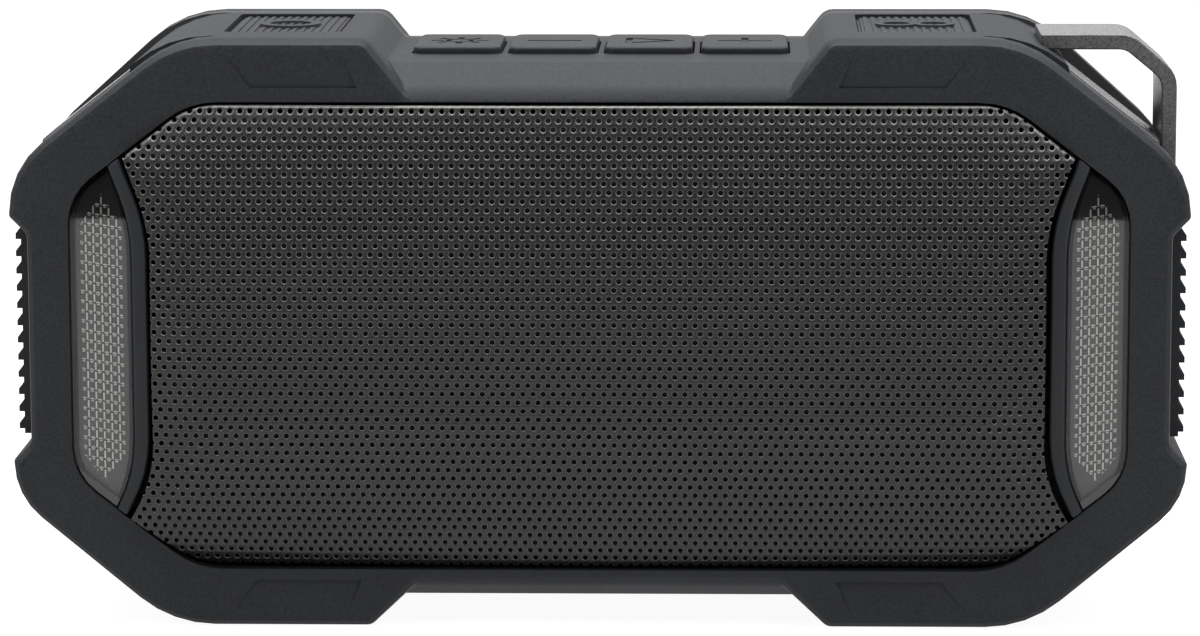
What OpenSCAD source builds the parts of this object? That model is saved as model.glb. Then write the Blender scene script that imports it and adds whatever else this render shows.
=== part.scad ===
// Rugged portable speaker: an eight-sided rubber case with a domed perforated grille,
// two light windows, keys along the top, a corner carry loop and a port flap at the back.
// X runs to the right, the front faces -Y and Z is up. The origin lies on the ground, under the middle.

/* [Case] */
// Overall width
body_w = 200; // [190:1:215]
// Overall height, from the feet to the top pads
body_h = 101; // [97:1:110]
// Overall depth, from the crown of the grille to the back
body_d = 62; // [60:1:72]
// Depth of the front frame
frame_t = 6; // [5:0.25:7]
// Depth of the rear cover with the rear frame
rear_t = 9; // [8.5:0.25:11]
// Thickness of the rear cover's rim, between the housing and the rear frame
rim_t = 3; // [2.5:0.25:4]
// Wall of the housing
wall = 3; // [2.5:0.25:3.5]
// Thickness of the baffle that carries the drivers
baffle_t = 4; // [3:0.5:5]
// Width of each corner bevel of the housing, and of the frames' lower bevels
bevel_w = 26.8; // [25:0.1:28]
// Width of the front frame's upper bevels
front_bevel_w = 28.5; // [27:0.1:30]
// Width of the rear frame's upper bevels
rear_bevel_w = 24.6; // [24:0.1:28]
// Height of each corner bevel
bevel_h = 22.3; // [20:0.1:24]
// Depth of the recess along the sides and the upper bevels
side_recess = 3; // [2.5:0.1:3.5]
// Rounding of the front and rear edges
edge_r = 2; // [1:0.25:2.5]

/* [Feet, pads and strip] */
// Inner end of each foot and pad, from the middle
foot_in = 39; // [37:0.5:42]
// Height of the arch between the feet
arch_h = 4.7; // [3:0.1:6]
// Drop from the pads to the key strip
strip_drop = 4.4; // [3:0.1:5]
// Drop of the sloping face in front of the key strip
slope_drop = 5; // [3:0.5:6]
// Rise of the sloping face in front of the arch
arch_rise = 3.3; // [1:0.1:4]
// Depth of the shallow facets on the front frame
facet_t = 0.4; // [0.3:0.1:1]

/* [Front opening] */
// Width of the front frame at the sides
frame_side = 10.2; // [9:0.1:11]
// Height of the front frame above the opening
frame_top = 10.6; // [10.2:0.1:13]
// Height of the front frame below the opening
frame_bottom = 10.1; // [9:0.1:11]
// Width of the opening's corner bevels
open_bevel_w = 20.9; // [19:0.1:23]
// Height of the opening's corner bevels
open_bevel_h = 16; // [15:0.1:17]

/* [Grille] */
// How far the crown of the grille stands in front of the frame
grille_proud = 7; // [6:0.5:8]
// Radius of the crown
crown_r = 146; // [120:1:200]
// Height of the crown
crown_h = 48; // [40:1:52]
// Radius of the shoulders above and below the crown
shoulder_r = 39; // [36:1:44]
// Sheet thickness
grille_t = 1; // [0.8:0.1:1.2]
// Spacing of the holes
hole_pitch = 5.25; // [5:0.25:9]
// Radius of a hole
hole_r = 1.5; // [1:0.1:1.8]

/* [Light windows] */
// Width of the bezel between a window and the grille
bezel_w = 2.7; // [2.4:0.1:3.5]
// Width of the middle of a window
window_w = 10.7; // [9.5:0.1:11.5]
// How far a window lies behind the face of the frame
window_sink = 0.9; // [0.5:0.1:1.2]
// Spacing of the diffuser's pyramids across
knurl_x = 1.32; // [1.1:0.02:1.5]
// Spacing of the diffuser's pyramids along
knurl_z = 1.68; // [1.5:0.02:2]

/* [Keys] */
// Width of a strip key
key_w = 15; // [13:0.5:15.5]
// Depth of a strip key
key_d = 22; // [18:0.5:23]
// Spacing of the strip keys
key_pitch = 16.5; // [16.5:0.1:17]
// How far a strip key stands out of the strip
key_proud = 1.2; // [0.9:0.1:1.6]
// Width of a pad key
pad_key_w = 19.6; // [18:0.2:21]
// Margin between a pad key and the front frame
pad_front = 7; // [6:0.5:9]
// Margin between a pad key and the rear cover
pad_back = 3; // [3:0.5:6]
// Spacing of the ribs on a pad key
rib_pitch = 1.4; // [1.2:0.1:2]
// Travel of every key
key_travel = 0.8; // [0.4:0.1:1]

/* [Drivers] */
// Radius of a driver's flange
driver_r = 27; // [25:0.5:27.5]
// Radius of a driver's cone
cone_r = 17.5; // [15.5:0.5:18]
// Gap between a driver's flange and the bezel beside it
driver_side = 7.9; // [6:0.1:10]
// Radius of a driver's magnet
magnet_r = 16; // [14:0.5:17]
// Thickness of a driver's magnet
magnet_t = 12; // [9:0.5:13]
// Travel of a cone each way
cone_travel = 1.5; // [0.5:0.1:2]

/* [Inside] */
// Radius of a battery cell
cell_r = 9.2; // [8.5:0.1:9.2]
// Clearance between the battery cells and the key board
cell_room = 2.7; // [2:0.1:6]
// Radius of the case screws
screw_r = 1.5; // [1.2:0.1:1.8]

/* [Carry loop] */
// Width of the loop's strap, front to back
loop_d = 18.5; // [14:0.5:20]
// Thickness of the strap
loop_t = 2.6; // [2:0.1:3]

/* [Hidden] */
// Clearance of pieces that move against each other
run_gap = 0.3;
// Clearance of pieces that are fixed beside each other
fit_gap = 0.1;
// Reach of a cut past the surface that it opens
cut = 1;
// Points on each rounded corner
corner_steps = 4;

// Planes from front to back
front_y = -body_d / 2 + grille_proud;
seam_y = front_y + frame_t;
baffle_y = seam_y + baffle_t;
rear_y = body_d / 2;
cover_y = rear_y - rear_t;
rim_y = cover_y + rim_t;
middle_y = (seam_y + cover_y) / 2;
panel_sink = 1.5;
panel_t = 3;
panel_y = rear_y - panel_sink;
panel_in_y = panel_y - panel_t;

// Heights and half widths of the case
side_x = body_w / 2;
recess_x = side_x - side_recess;
bevel_x = side_x - bevel_w;
mid_z = body_h / 2;
strip_z = body_h - strip_drop;
pad_slope = 0.8;
strip_x = foot_in - strip_drop * pad_slope;
arch_slope = 1.06;
arch_x = foot_in - arch_h * arch_slope;
notch_low_end = 6.4;
notch_high_end = 8.1;
notch_low = bevel_h + notch_low_end;
notch_high = body_h - bevel_h - notch_high_end;

// Unit vectors along the upper right bevel and into the case
bevel_len = norm([bevel_w, bevel_h]);
bevel_dir = [bevel_w, -bevel_h] / bevel_len;
bevel_in = [-bevel_h, -bevel_w] / bevel_len;
lip_t = 1;
pad_end = 8;
recess_ramp = 3.5;
bevel_ratio = bevel_h / bevel_w;
recess_top_z = body_h - bevel_h + side_recess * bevel_ratio - side_recess * bevel_len / bevel_w;

// Half outlines, from the bottom middle round to the top middle, each with its corner radii
// A frame's outline changes from its face, k = 0, to its back, k = 1, as the strip and the arch slope,
// and its upper bevels have a width of their own
function frame_half(k, upper_w) =
    let (arch = arch_h + arch_rise * (1 - k), strip = strip_z - slope_drop * (1 - k))
    [
        [foot_in - arch * arch_slope, arch], [foot_in, 0], [bevel_x, 0], [side_x, bevel_h],
        [side_x, notch_low], [recess_x, notch_low + side_recess],
        [recess_x, notch_high - side_recess], [side_x, notch_high],
        [side_x, body_h - bevel_h], [side_x - upper_w, body_h], [foot_in, body_h],
        [foot_in - (body_h - strip) * pad_slope, strip]
    ];
frame_radii = [1.5, 2, 20, 12.5, 1, 2, 2, 1, 15.5, 20, 3, 1.5];
housing_half = [
    [arch_x, arch_h], [foot_in, 0], [bevel_x, 0], [side_x, bevel_h],
    [side_x, notch_low], [recess_x, notch_low + side_recess],
    [recess_x, recess_top_z],
    [bevel_x, body_h] + (pad_end + recess_ramp) * bevel_dir + side_recess * bevel_in,
    [bevel_x, body_h] + pad_end * bevel_dir,
    [bevel_x, body_h], [foot_in, body_h], [strip_x, strip_z]
];
housing_radii = [1.5, 2, 20, 12.5, 1, 2, 6, 1.5, 0.5, 20, 3, 1.5];

// Cavity of the housing: the wall stands inside the recessed sides and bevels
bevel_rise = bevel_len / bevel_w;
cavity_x = recess_x - wall;
cavity_low = arch_h + wall;
cavity_high = strip_z - wall;
low_line = wall * bevel_rise;
high_line = body_h - (wall + side_recess) * bevel_rise;
cavity_half = [
    [bevel_x + (cavity_low - low_line) / bevel_ratio, cavity_low],
    [cavity_x, low_line + (cavity_x - bevel_x) * bevel_ratio],
    [cavity_x, high_line - (cavity_x - bevel_x) * bevel_ratio],
    [bevel_x + (high_line - cavity_high) / bevel_ratio, cavity_high]
];
cavity_radii = [8, 8, 8, 8];
open_x = side_x - frame_side;
open_half = [
    [open_x - open_bevel_w, frame_bottom], [open_x, frame_bottom + open_bevel_h],
    [open_x, body_h - frame_top - open_bevel_h], [open_x - open_bevel_w, body_h - frame_top]
];
open_radii = [14, 10, 10, 14];

// Corners of a facet, measured from the inner end and the edge of its foot or pad
facet_near = 8.2;
facet_far = 1.2;
facet_start = 1.5;
facet_end = 19.5;
facet_start_lean = 3;
facet_end_lean = 5.5;
facet_lift = 0.05;

// Edges of a window and of its bezel, upwards, as corners of a gently bent line
window_x = open_x - window_w;
bezel_x = window_x - bezel_w;
low_bend_in = 0.2;
high_bend_in = 5;
bend_low = frame_bottom + open_bevel_h + low_bend_in;
bend_high = body_h - frame_top - open_bevel_h - high_bend_in;
curve_reach = 40;
window_lean_low = 0.55;
window_lean_high = 0.38;
bezel_lean_low = 0.6;
bezel_lean_high = 0.4;
window_curve = [
    [window_x + window_lean_low * curve_reach, bend_low - curve_reach], [window_x, bend_low],
    [window_x, bend_high], [window_x + window_lean_high * curve_reach, bend_high + curve_reach]
];
bezel_curve = [
    [bezel_x + bezel_lean_low * curve_reach, bend_low - curve_reach], [bezel_x, bend_low],
    [bezel_x, bend_high], [bezel_x + bezel_lean_high * curve_reach, bend_high + curve_reach]
];
curve_radii = [0, 24, 30, 0];

// Grille section
crown_a = asin(crown_h / 2 / crown_r);
grille_z = (frame_bottom + body_h - frame_top) / 2;
crown_y = -body_d / 2;
shoulder_a = 36;
crown_steps = 4;
shoulder_steps = 6;
shoulder_u = (crown_r - shoulder_r) * sin(crown_a);
shoulder_y = crown_y + crown_r - (crown_r - shoulder_r) * cos(crown_a);
grille_gap = 0.5;
hole_margin = grille_gap + grille_t + hole_r + 0.4;
cloth_t = 0.4;

// Light window stack, front to back
window_y = front_y + window_sink;
window_t = 1.2;
cup_t = 0.8;
light_board_t = 1;
diffuser_t = 1;
diffuser_y = window_y + window_t + fit_gap;
light_board_y = seam_y - light_board_t;
window_mid_x = open_x - window_w / 2;
led_count = 6;
led_pitch = 7;
led_half = 1;
led_t = 0.5;

// Patterned part of a diffuser: columns of pyramids with a point at each end, in rows that lean inwards
knurl_t = 0.3;
knurl_over = 0.1;
knurl_cols = 2;
knurl_lean = 8;
knurl_half = (knurl_cols + 0.7) * knurl_x;
knurl_low = frame_bottom + open_bevel_h - 1;
knurl_high = body_h - frame_top - open_bevel_h;
knurl_low_point = 4.5;
knurl_high_point = 5.2;
knurl_outline = [
    [window_mid_x - knurl_half, knurl_low + knurl_low_point], [window_mid_x, knurl_low],
    [window_mid_x + knurl_half, knurl_low + knurl_low_point],
    [window_mid_x + knurl_half, knurl_high - knurl_high_point], [window_mid_x, knurl_high],
    [window_mid_x - knurl_half, knurl_high - knurl_high_point]
];

// Keys
key_y = middle_y + 3.5;
pad_key_d = cover_y - pad_back - seam_y - pad_front;
pad_key_y = seam_y + pad_front + pad_key_d / 2;
pad_key_in = 2;
pad_key_x = (foot_in + bevel_x) / 2 - pad_key_in;
key_r = 2;
pad_key_r = 0.8;
key_rim = 0.6;
flange_t = 1.3;
flange_reach = 2;
flange_sink = 0.5;
stem_r = 2;
roof_z = cavity_high;
board_t = 1.6;
board_drop = 9.2;
board_z = roof_z - board_drop;
switch_w = 6;
switch_h = 2.6;
plunger_r = 1.75;
plunger_h = 0.9;
switch_top = board_z + board_t + switch_h + plunger_h;
stem_z = switch_top + key_travel + run_gap;
strip_key_xs = [for (i = [-1.5:1:1.5]) i * key_pitch];
pad_key_xs = [-pad_key_x, pad_key_x];
rib_h = 0.5;
rib_end = 0.5;
rib_sink = 0.2;
pad_key_sink = 0.7;
pad_key_top = body_h - pad_key_sink;
key_board_end = 8;
key_board_w = 2 * (pad_key_x + key_board_end);
key_board_d = key_d + 2;
post_side = 2.5;
post_x = strip_x + post_side;
post_r = 2;
post_dy = 9;
pilot_r = 0.9;
pilot_gap = 0.03;
pilot_depth = 7;

// Grip ribs: teeth on a plate that stands in the side recess
grip_count = 12;
grip_start = 2.5;
grip_stop = 3.5;
grip_high = notch_high - grip_start;
grip_low = notch_low + grip_stop;
grip_pitch = (grip_high - grip_low) / grip_count;
grip_end = 1.5;
grip_sink = 0.5;
grip_base_x = side_x - 1.1;
grip_top_x = side_x - 0.2;
grip_rise = 0.4 * grip_pitch;
grip_h = 0.72 * grip_pitch;

// Battery: the cells fill the height between their holder and the key board
cell_back = 2;
cell_floor = 9;
cell_gap = 0.3;
cell_tip_h = 1;
cell_tip_r = 0.3 * cell_r;
holder_wall = 1;
holder_lip = 2;
holder_back = 0.5;
cell_y = cover_y - cell_r - cell_back;
cell_x = cell_r + cell_gap;
cell_z = cavity_low + cell_floor;
cell_h = board_z - cell_z - cell_room;
holder_w = 2 * (cell_x + cell_r + holder_wall);

// Screws: shank, head and length
screw_head_r = 2.8;
screw_head_t = 1.8;
screw_extra = 2;
screw_bite = 10;
hole_gap = 0.2;
small_head_r = 1.8;
small_head_t = 1;
board_screw_l = 7;
post_screw_l = 6;
boss_r = 4;
boss_side = 18;
boss_rise = 3;
boss_drop = 5.5;
boss_gap = 0.3;
bottom_boss_x = holder_w / 2 + boss_gap + boss_r;
boss_places = [
    for (s = [-1, 1]) [s * (side_x - boss_side), bevel_h + boss_rise],
    for (s = [-1, 1]) [s * (side_x - boss_side), body_h - bevel_h - boss_drop],
    for (s = [-1, 1]) [s * bottom_boss_x, frame_bottom + boss_r + 1]
];
gasket_w = 1.2;
gasket_t = 1;

// Main board beside the battery, and the port
board_w = 48;
board_h = 44;
board_gap = 7.3;
board_x = -(holder_w / 2 + board_gap + board_w / 2);
board_back = 5;
main_board_y = cover_y - board_back;
board_inset = 3.5;
stud_r = 2.5;
chip_sink = 0.2;
chip_t = 1;
chip_half = 5;
chip_z = mid_z + 9;
choke_t = 1.4;
choke_half_w = 3.5;
choke_half_h = 5;
choke_x = board_x + 12.5;
choke_z = mid_z - 7;
port_x = board_x;
port_drop = 10.5;
port_z = mid_z - port_drop;
port_w = 9;
port_h = 3.2;
port_wall = 0.4;
port_depth = 6;
port_sink = 3.2;
tongue_w = 6.7;
tongue_t = 0.7;
tongue_root = 0.5;
port_front_y = panel_y - port_sink;
flap_w = 24;
flap_h = 12;
flap_t = 1.6;
flap_sink = 2;
flap_pin_r = 0.6;
flap_pin_gap = 0.05;
flap_pin_reach = 1.2;
knuckle_r = 0.9;
flap_y = panel_y - flap_sink / 2;
flap_z = port_z + flap_h / 2 - knuckle_r - run_gap;

// Drivers: the magnet ends in front of the parts on the main board
driver_x = bezel_x - driver_side - driver_r;
driver_z = grille_z;
driver_room = 4.6;
driver_flange_t = 2;
flange_y = seam_y - driver_flange_t;
hole_edge = 3.5;
basket_y = main_board_y - choke_t - driver_room - magnet_t;
basket_t = 1.2;
basket_fit = 0.5;
basket_slot = 5;
driver_pcd_r = driver_r - 2.2;
driver_screw_r = 0.97;
driver_head_r = 2;
driver_head_t = 1.2;
driver_screw_l = 5;
surround_in = cone_r + run_gap;
surround_out = driver_r - 5.6;
surround_lip = 0.9;
roll_r = (surround_out - surround_in) / 2;
roll_c = (surround_out + surround_in) / 2;
roll_t = 0.5;
roll_steps = 8;
coil_r = 6;
coil_t = 0.6;
coil_gap = 0.4;
coil_in = coil_r - coil_t / 2;
coil_out = coil_r + coil_t / 2;
coil_end = basket_y + 5;
magnet_edge = 1;
cone_neck_y = baffle_y + 2;
cap_r = 0.6 * coil_r;

// Carry loop
loop_drop = 0.6;
loop_side = 1.6;
loop_top = body_h - loop_drop;
loop_face = side_x - loop_side;
loop_in = bevel_x + 2;
loop_bend = 7.8;
loop_bend_h = 0.86 * loop_bend;
loop_h = 30;
loop_foot = body_h - loop_h;
loop_end_r = 0.3;
loop_outer_r = 5;
loop_inner_r = 3;
loop_turn = 0.4;
loop_y = 0;

// Points of an arc that rounds the corner b between a and c
function corner_arc(a, b, c, r) =
    let (u = (a - b) / norm(a - b), v = (c - b) / norm(c - b),
         half = acos(max(-1, min(1, u * v))) / 2,
         centre = b + (u + v) / norm(u + v) * r / sin(half),
         p = b + u * r / tan(half) - centre,
         q = b + v * r / tan(half) - centre,
         start = atan2(p[1], p[0]),
         turn = atan2(p[0] * q[1] - p[1] * q[0], p * q))
    [for (i = [0:corner_steps]) centre + r * [cos(start + turn * i / corner_steps),
                                              sin(start + turn * i / corner_steps)]];

// A closed outline with every corner rounded
function round_points(pts, radii) =
    [for (i = [0:len(pts) - 1])
        each corner_arc(pts[(i + len(pts) - 1) % len(pts)], pts[i], pts[(i + 1) % len(pts)], radii[i])];

// An open line with its inner corners rounded
function round_line(pts, radii) =
    [pts[0], for (i = [1:len(pts) - 2]) each corner_arc(pts[i - 1], pts[i], pts[i + 1], radii[i]),
     pts[len(pts) - 1]];

// The right half joined to its mirror image
function both_halves(half) = concat(half, [for (i = [len(half) - 1:-1:0]) [-half[i][0], half[i][1]]]);
function both_radii(radii) = concat(radii, [for (i = [len(radii) - 1:-1:0]) radii[i]]);

// Normal of an edge, pointing into an outline that runs anticlockwise
function edge_in(a, b) = [a[1] - b[1], b[0] - a[0]] / norm(b - a);
function cross_z(u, v) = u[0] * v[1] - u[1] * v[0];

// Corners moved inwards by d, and radii that keep the rounding parallel
function inset_points(pts, d) =
    [for (i = [0:len(pts) - 1])
        let (n = len(pts), m = edge_in(pts[(i + n - 1) % n], pts[i]), k = edge_in(pts[i], pts[(i + 1) % n]))
        pts[i] + d * (m + k) / (1 + m * k)];
function inset_radii(pts, radii, d) =
    [for (i = [0:len(pts) - 1])
        let (n = len(pts), u = pts[i] - pts[(i + n - 1) % n], v = pts[(i + 1) % n] - pts[i])
        max(0.2, cross_z(u, v) > 0 ? radii[i] - d : radii[i] + d)];
function outline(half, radii, d = 0) =
    let (pts = both_halves(half), rr = both_radii(radii))
    round_points(inset_points(pts, d), inset_radii(pts, rr, d));

// A ring of points at one depth
function ring_at(pts, y) = [for (p = pts) [p[0], y, p[1]]];

// Side faces between rings of n points, with both ends closed
function ring_faces(rings, n) = concat(
    [[for (i = [n - 1:-1:0]) i]],
    [for (r = [0:rings - 2], i = [0:n - 1])
        each [[r * n + i, r * n + (i + 1) % n, (r + 1) * n + i],
              [r * n + (i + 1) % n, (r + 1) * n + (i + 1) % n, (r + 1) * n + i]]],
    [[for (i = [0:n - 1]) (rings - 1) * n + i]]
);

// A closed solid through rings of points
module loft(rings) {
    polyhedron([for (ring = rings) each ring], ring_faces(len(rings), len(rings[0])));
}

// Quarter-round steps of an edge: how far in, and how far behind the face
function edge_steps(r, steps) = [for (k = [0:steps]) r * [1 - sin(90 * k / steps), 1 - cos(90 * k / steps)]];

// The rings run backwards where the face is the back
function in_order(rings, dir) = dir > 0 ? rings : [for (i = [len(rings) - 1:-1:0]) rings[i]];

// Extrusion of an XZ shape from y0 to y1
module along_y(y0, y1) {
    translate([0, y1, 0]) rotate([90, 0, 0]) linear_extrude(y1 - y0) children();
}

// Extrusion of a YZ shape from x0 to x1
module along_x(x0, x1) {
    translate([x0, 0, 0]) rotate([90, 0, 90]) linear_extrude(x1 - x0) children();
}

// A piece turned about a line along Y, from a section of radius and depth
module turned(x, z) {
    translate([x, 0, z]) rotate([-90, 0, 0]) rotate_extrude($fn = 96) children();
}

// A round bar or hole along Y
module bar_y(x, z, r, y0, y1) {
    translate([x, y0, z]) rotate([-90, 0, 0]) cylinder(h = y1 - y0, r = r, $fn = 48);
}

// A box from its lowest and highest corners
module span(low, high) {
    translate(low) cube(high - low);
}

module mirrored_x(s) {
    if (s < 0) mirror([1, 0, 0]) children();
    else children();
}

// Shallow sloping facets on the face of a frame, under each pad and above each foot
module facet_cut(face_y, dir, s, up) {
    edge = up > 0 ? body_h : 0;
    near = edge - up * facet_near;
    far = edge - up * facet_far;
    start = foot_in + facet_start;
    end = foot_in + facet_end;
    mirrored_x(s) intersection() {
        along_y(-body_d, body_d) polygon([
            [start, near], [end, near], [end + facet_end_lean, far], [start + facet_start_lean, far]
        ]);
        along_x(0, side_x) polygon([
            [face_y - dir * cut, near], [face_y + dir * facet_t, near],
            [face_y - dir * facet_lift, far], [face_y - dir * cut, far]
        ]);
    }
}

// Part of the front opening, and the side of it that lies beyond a bent line
module opening(d, y0, y1) {
    along_y(y0, y1) polygon(outline(open_half, open_radii, d));
}

module beyond(curve, shift, y0, y1) {
    line = round_line(curve, curve_radii);
    outer = [[body_w, line[len(line) - 1][1]], [body_w, line[0][1]]];
    along_y(y0, y1) translate([shift, 0]) polygon(concat(line, outer));
}

// Section of the grille, moved back by d
function shoulder_angle(i) = crown_a + (shoulder_a - crown_a) * i / shoulder_steps;
function shoulder_point(a, s, d) =
    [shoulder_y - (shoulder_r - d) * cos(a), grille_z + s * (shoulder_u + (shoulder_r - d) * sin(a))];
function crown_point(a, d) =
    [crown_y + crown_r - (crown_r - d) * cos(a), grille_z + (crown_r - d) * sin(a)];
function grille_section(d) = concat(
    [for (i = [shoulder_steps:-1:1]) shoulder_point(shoulder_angle(i), -1, d)],
    [for (i = [-crown_steps:crown_steps]) crown_point(crown_a * i / crown_steps, d)],
    [for (i = [1:shoulder_steps]) shoulder_point(shoulder_angle(i), 1, d)]
);

// The grille's block, inset by d all round and moved back by d
module grille_block(d, back_y) {
    section = grille_section(d);
    back = [[back_y, section[len(section) - 1][1]], [back_y, section[0][1]]];
    difference() {
        intersection() {
            opening(grille_gap + d, crown_y - cut, back_y);
            along_x(-side_x, side_x) polygon(concat(section, back));
        }
        for (s = [-1, 1]) mirrored_x(s) beyond(bezel_curve, -grille_gap - d, crown_y - 2 * cut, back_y + cut);
    }
}

// Whether a hole at x, z keeps clear of the grille's edge
function bend_x(z) =
    bezel_x + bezel_lean_high * max(0, z - bend_high) + bezel_lean_low * max(0, bend_low - z);
function in_grille(x, z) =
    let (drop = max(0, abs(x) + hole_margin - (open_x - open_bevel_w)) * open_bevel_h / open_bevel_w)
    abs(x) < bend_x(z) - hole_margin && z > frame_bottom + hole_margin + drop
        && z < body_h - frame_top - hole_margin - drop;

module grille() {
    row = hole_pitch * sqrt(3) / 2;
    rows = floor((body_h - frame_top - frame_bottom) / row / 2);
    cols = ceil(bezel_x / hole_pitch) + 1;
    color("dimgray") difference() {
        grille_block(0, seam_y);
        grille_block(grille_t, seam_y + cut);
        for (j = [-rows:rows], i = [-cols:cols]) {
            x = (i + (j % 2 == 0 ? 0 : 0.5)) * hole_pitch;
            z = grille_z + j * row;
            if (in_grille(x, z)) bar_y(x, z, hole_r, crown_y - cut, seam_y - 2);
        }
    }
}

module grille_cloth() {
    color("black") difference() {
        grille_block(grille_t + fit_gap, seam_y);
        grille_block(grille_t + fit_gap + cloth_t, seam_y + cut);
    }
}

// A rubber frame round the front or the back: rounded outer edge, open middle and shallow facets
module rubber_frame(face_y, inner_y, upper_w) {
    dir = sign(inner_y - face_y);
    depth = abs(inner_y - face_y);
    rings = [
        for (e = edge_steps(edge_r, 3))
            ring_at(outline(frame_half(e[1] / depth, upper_w), frame_radii, e[0]), face_y + dir * e[1]),
        ring_at(outline(frame_half(1, upper_w), frame_radii), inner_y)
    ];
    resize([body_w, depth, body_h]) difference() {
        loft(in_order(rings, dir));
        opening(0, min(face_y, inner_y) - cut, max(face_y, inner_y) + cut);
        for (s = [-1, 1], up = [-1, 1]) facet_cut(face_y, dir, s, up);
    }
}

module front_frame() {
    color("darkslategray") rubber_frame(front_y, seam_y, front_bevel_w);
}

module rear_frame() {
    color("darkslategray") rubber_frame(rear_y, rim_y, rear_bevel_w);
}

// Saw-tooth grip ribs on one side
module side_ribs() {
    root_x = recess_x - grip_sink;
    teeth = [
        for (i = [0:grip_count - 1])
            let (top = grip_high - i * grip_pitch)
            each [[grip_base_x, top], [grip_top_x, top - grip_rise],
                  [grip_top_x, top - grip_h], [grip_base_x, top - grip_h]]
    ];
    along_y(seam_y + grip_end, cover_y - grip_end)
        polygon(concat([[root_x, grip_high]], teeth, [[grip_base_x, grip_low], [root_x, grip_low]]));
}

// A block with rounded corners in plan
module round_block(x, y, w, d, r, z0, z1) {
    translate([x, y, z0]) linear_extrude(z1 - z0) polygon(round_points(
        [[-w / 2, -d / 2], [w / 2, -d / 2], [w / 2, d / 2], [-w / 2, d / 2]], [r, r, r, r]));
}

// Hole in the top that a key slides in
module key_hole(x, y, w, d, r) {
    round_block(x, y, w + 2 * run_gap, d + 2 * run_gap, r + run_gap, roof_z - cut, body_h + cut);
}

// Space of the carry loop's strap, larger by d
module strap(d) {
    t = loop_t + 2 * d;
    top = loop_top + d;
    face = loop_face + d;
    corner_x = loop_face - loop_bend + loop_turn * d;
    corner_z = loop_top - loop_bend_h + loop_turn * d;
    outer = [[loop_in - d, top], [corner_x, top], [face, corner_z], [face, loop_foot - d]];
    inner = [[face - t, loop_foot - d], [face - t, corner_z - loop_turn * t],
             [corner_x - loop_turn * t, top - t], [loop_in - d, top - t]];
    radii = [loop_end_r, loop_outer_r, loop_outer_r, loop_end_r,
             loop_end_r, loop_inner_r, loop_inner_r, loop_end_r];
    along_y(loop_y - loop_d / 2 - d, loop_y + loop_d / 2 + d)
        polygon(round_points(concat(outer, inner), radii));
}

// Places of the posts under the roof that carry the key board
module post_places(z) {
    for (x = [-post_x, post_x], dy = [-post_dy, post_dy]) translate([x, key_y + dy, z]) children();
}

// The case's middle: a thin lip behind the front frame, recessed sides with ribs, bosses and holes
module main_housing() {
    color("dimgray") difference() {
        union() {
            difference() {
                union() {
                    along_y(seam_y, seam_y + lip_t)
                        polygon(outline(frame_half(1, front_bevel_w), frame_radii));
                    along_y(seam_y, cover_y) polygon(outline(housing_half, housing_radii));
                    for (s = [-1, 1]) mirrored_x(s) side_ribs();
                }
                along_y(baffle_y, cover_y + cut) polygon(outline(cavity_half, cavity_radii));
            }
            for (p = boss_places) bar_y(p[0], p[1], boss_r, baffle_y - cut, cover_y);
            post_places(board_z + board_t)
                cylinder(h = roof_z + cut - board_z - board_t, r = post_r, $fn = 32);
        }
        for (x = [-driver_x, driver_x]) {
            bar_y(x, driver_z, driver_r - hole_edge, seam_y - cut, baffle_y + cut);
            driver_screw_places(x) bar_y(0, 0, driver_screw_r + pilot_gap, seam_y - cut, baffle_y + cut);
        }
        for (p = boss_places) bar_y(p[0], p[1], screw_r + pilot_gap, cover_y - screw_bite, cover_y + cut);
        for (x = strip_key_xs) key_hole(x, key_y, key_w, key_d, key_r);
        for (x = pad_key_xs) key_hole(x, pad_key_y, pad_key_w, pad_key_d, pad_key_r);
        post_places(board_z) cylinder(h = pilot_depth, r = pilot_r + pilot_gap, $fn = 32);
        strap(fit_gap);
        along_y(cover_y - gasket_t, cover_y + cut) difference() {
            polygon(outline(cavity_half, cavity_radii, -(wall + gasket_w) / 2 - fit_gap));
            polygon(outline(cavity_half, cavity_radii, -(wall - gasket_w) / 2 + fit_gap));
        }
    }
}

module housing_gasket() {
    color("black") along_y(cover_y - gasket_t, cover_y) difference() {
        polygon(outline(cavity_half, cavity_radii, -(wall + gasket_w) / 2));
        polygon(outline(cavity_half, cavity_radii, -(wall - gasket_w) / 2));
    }
}

module rear_cover() {
    color("dimgray") difference() {
        union() {
            difference() {
                union() {
                    along_y(cover_y, rim_y) polygon(outline(frame_half(1, rear_bevel_w), frame_radii));
                    opening(fit_gap, cover_y, panel_y);
                }
                opening(wall, cover_y - cut, panel_in_y);
            }
            for (p = boss_places) bar_y(p[0], p[1], boss_r, cover_y, panel_in_y + cut);
            board_places() bar_y(0, 0, stud_r, main_board_y + board_t, panel_in_y + cut);
        }
        for (p = boss_places) {
            bar_y(p[0], p[1], screw_r + hole_gap, cover_y - cut, rear_y);
            bar_y(p[0], p[1], screw_head_r + hole_gap, panel_y - screw_head_t, rear_y + cut);
        }
        board_places() bar_y(0, 0, pilot_r + pilot_gap, main_board_y, panel_in_y);
        span([port_x - flap_w / 2, panel_y - flap_sink, port_z - flap_h / 2],
             [port_x + flap_w / 2, rear_y, port_z + flap_h / 2]);
        span([port_x - port_w / 2 - run_gap, panel_in_y - cut, port_z - port_h / 2 - run_gap],
             [port_x + port_w / 2 + run_gap, panel_y, port_z + port_h / 2 + run_gap]);
        along_x(port_x - flap_w / 2 - flap_pin_reach, port_x + flap_w / 2 + flap_pin_reach)
            translate([flap_y, flap_z]) circle(r = flap_pin_r + flap_pin_gap, $fn = 32);
    }
}

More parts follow.
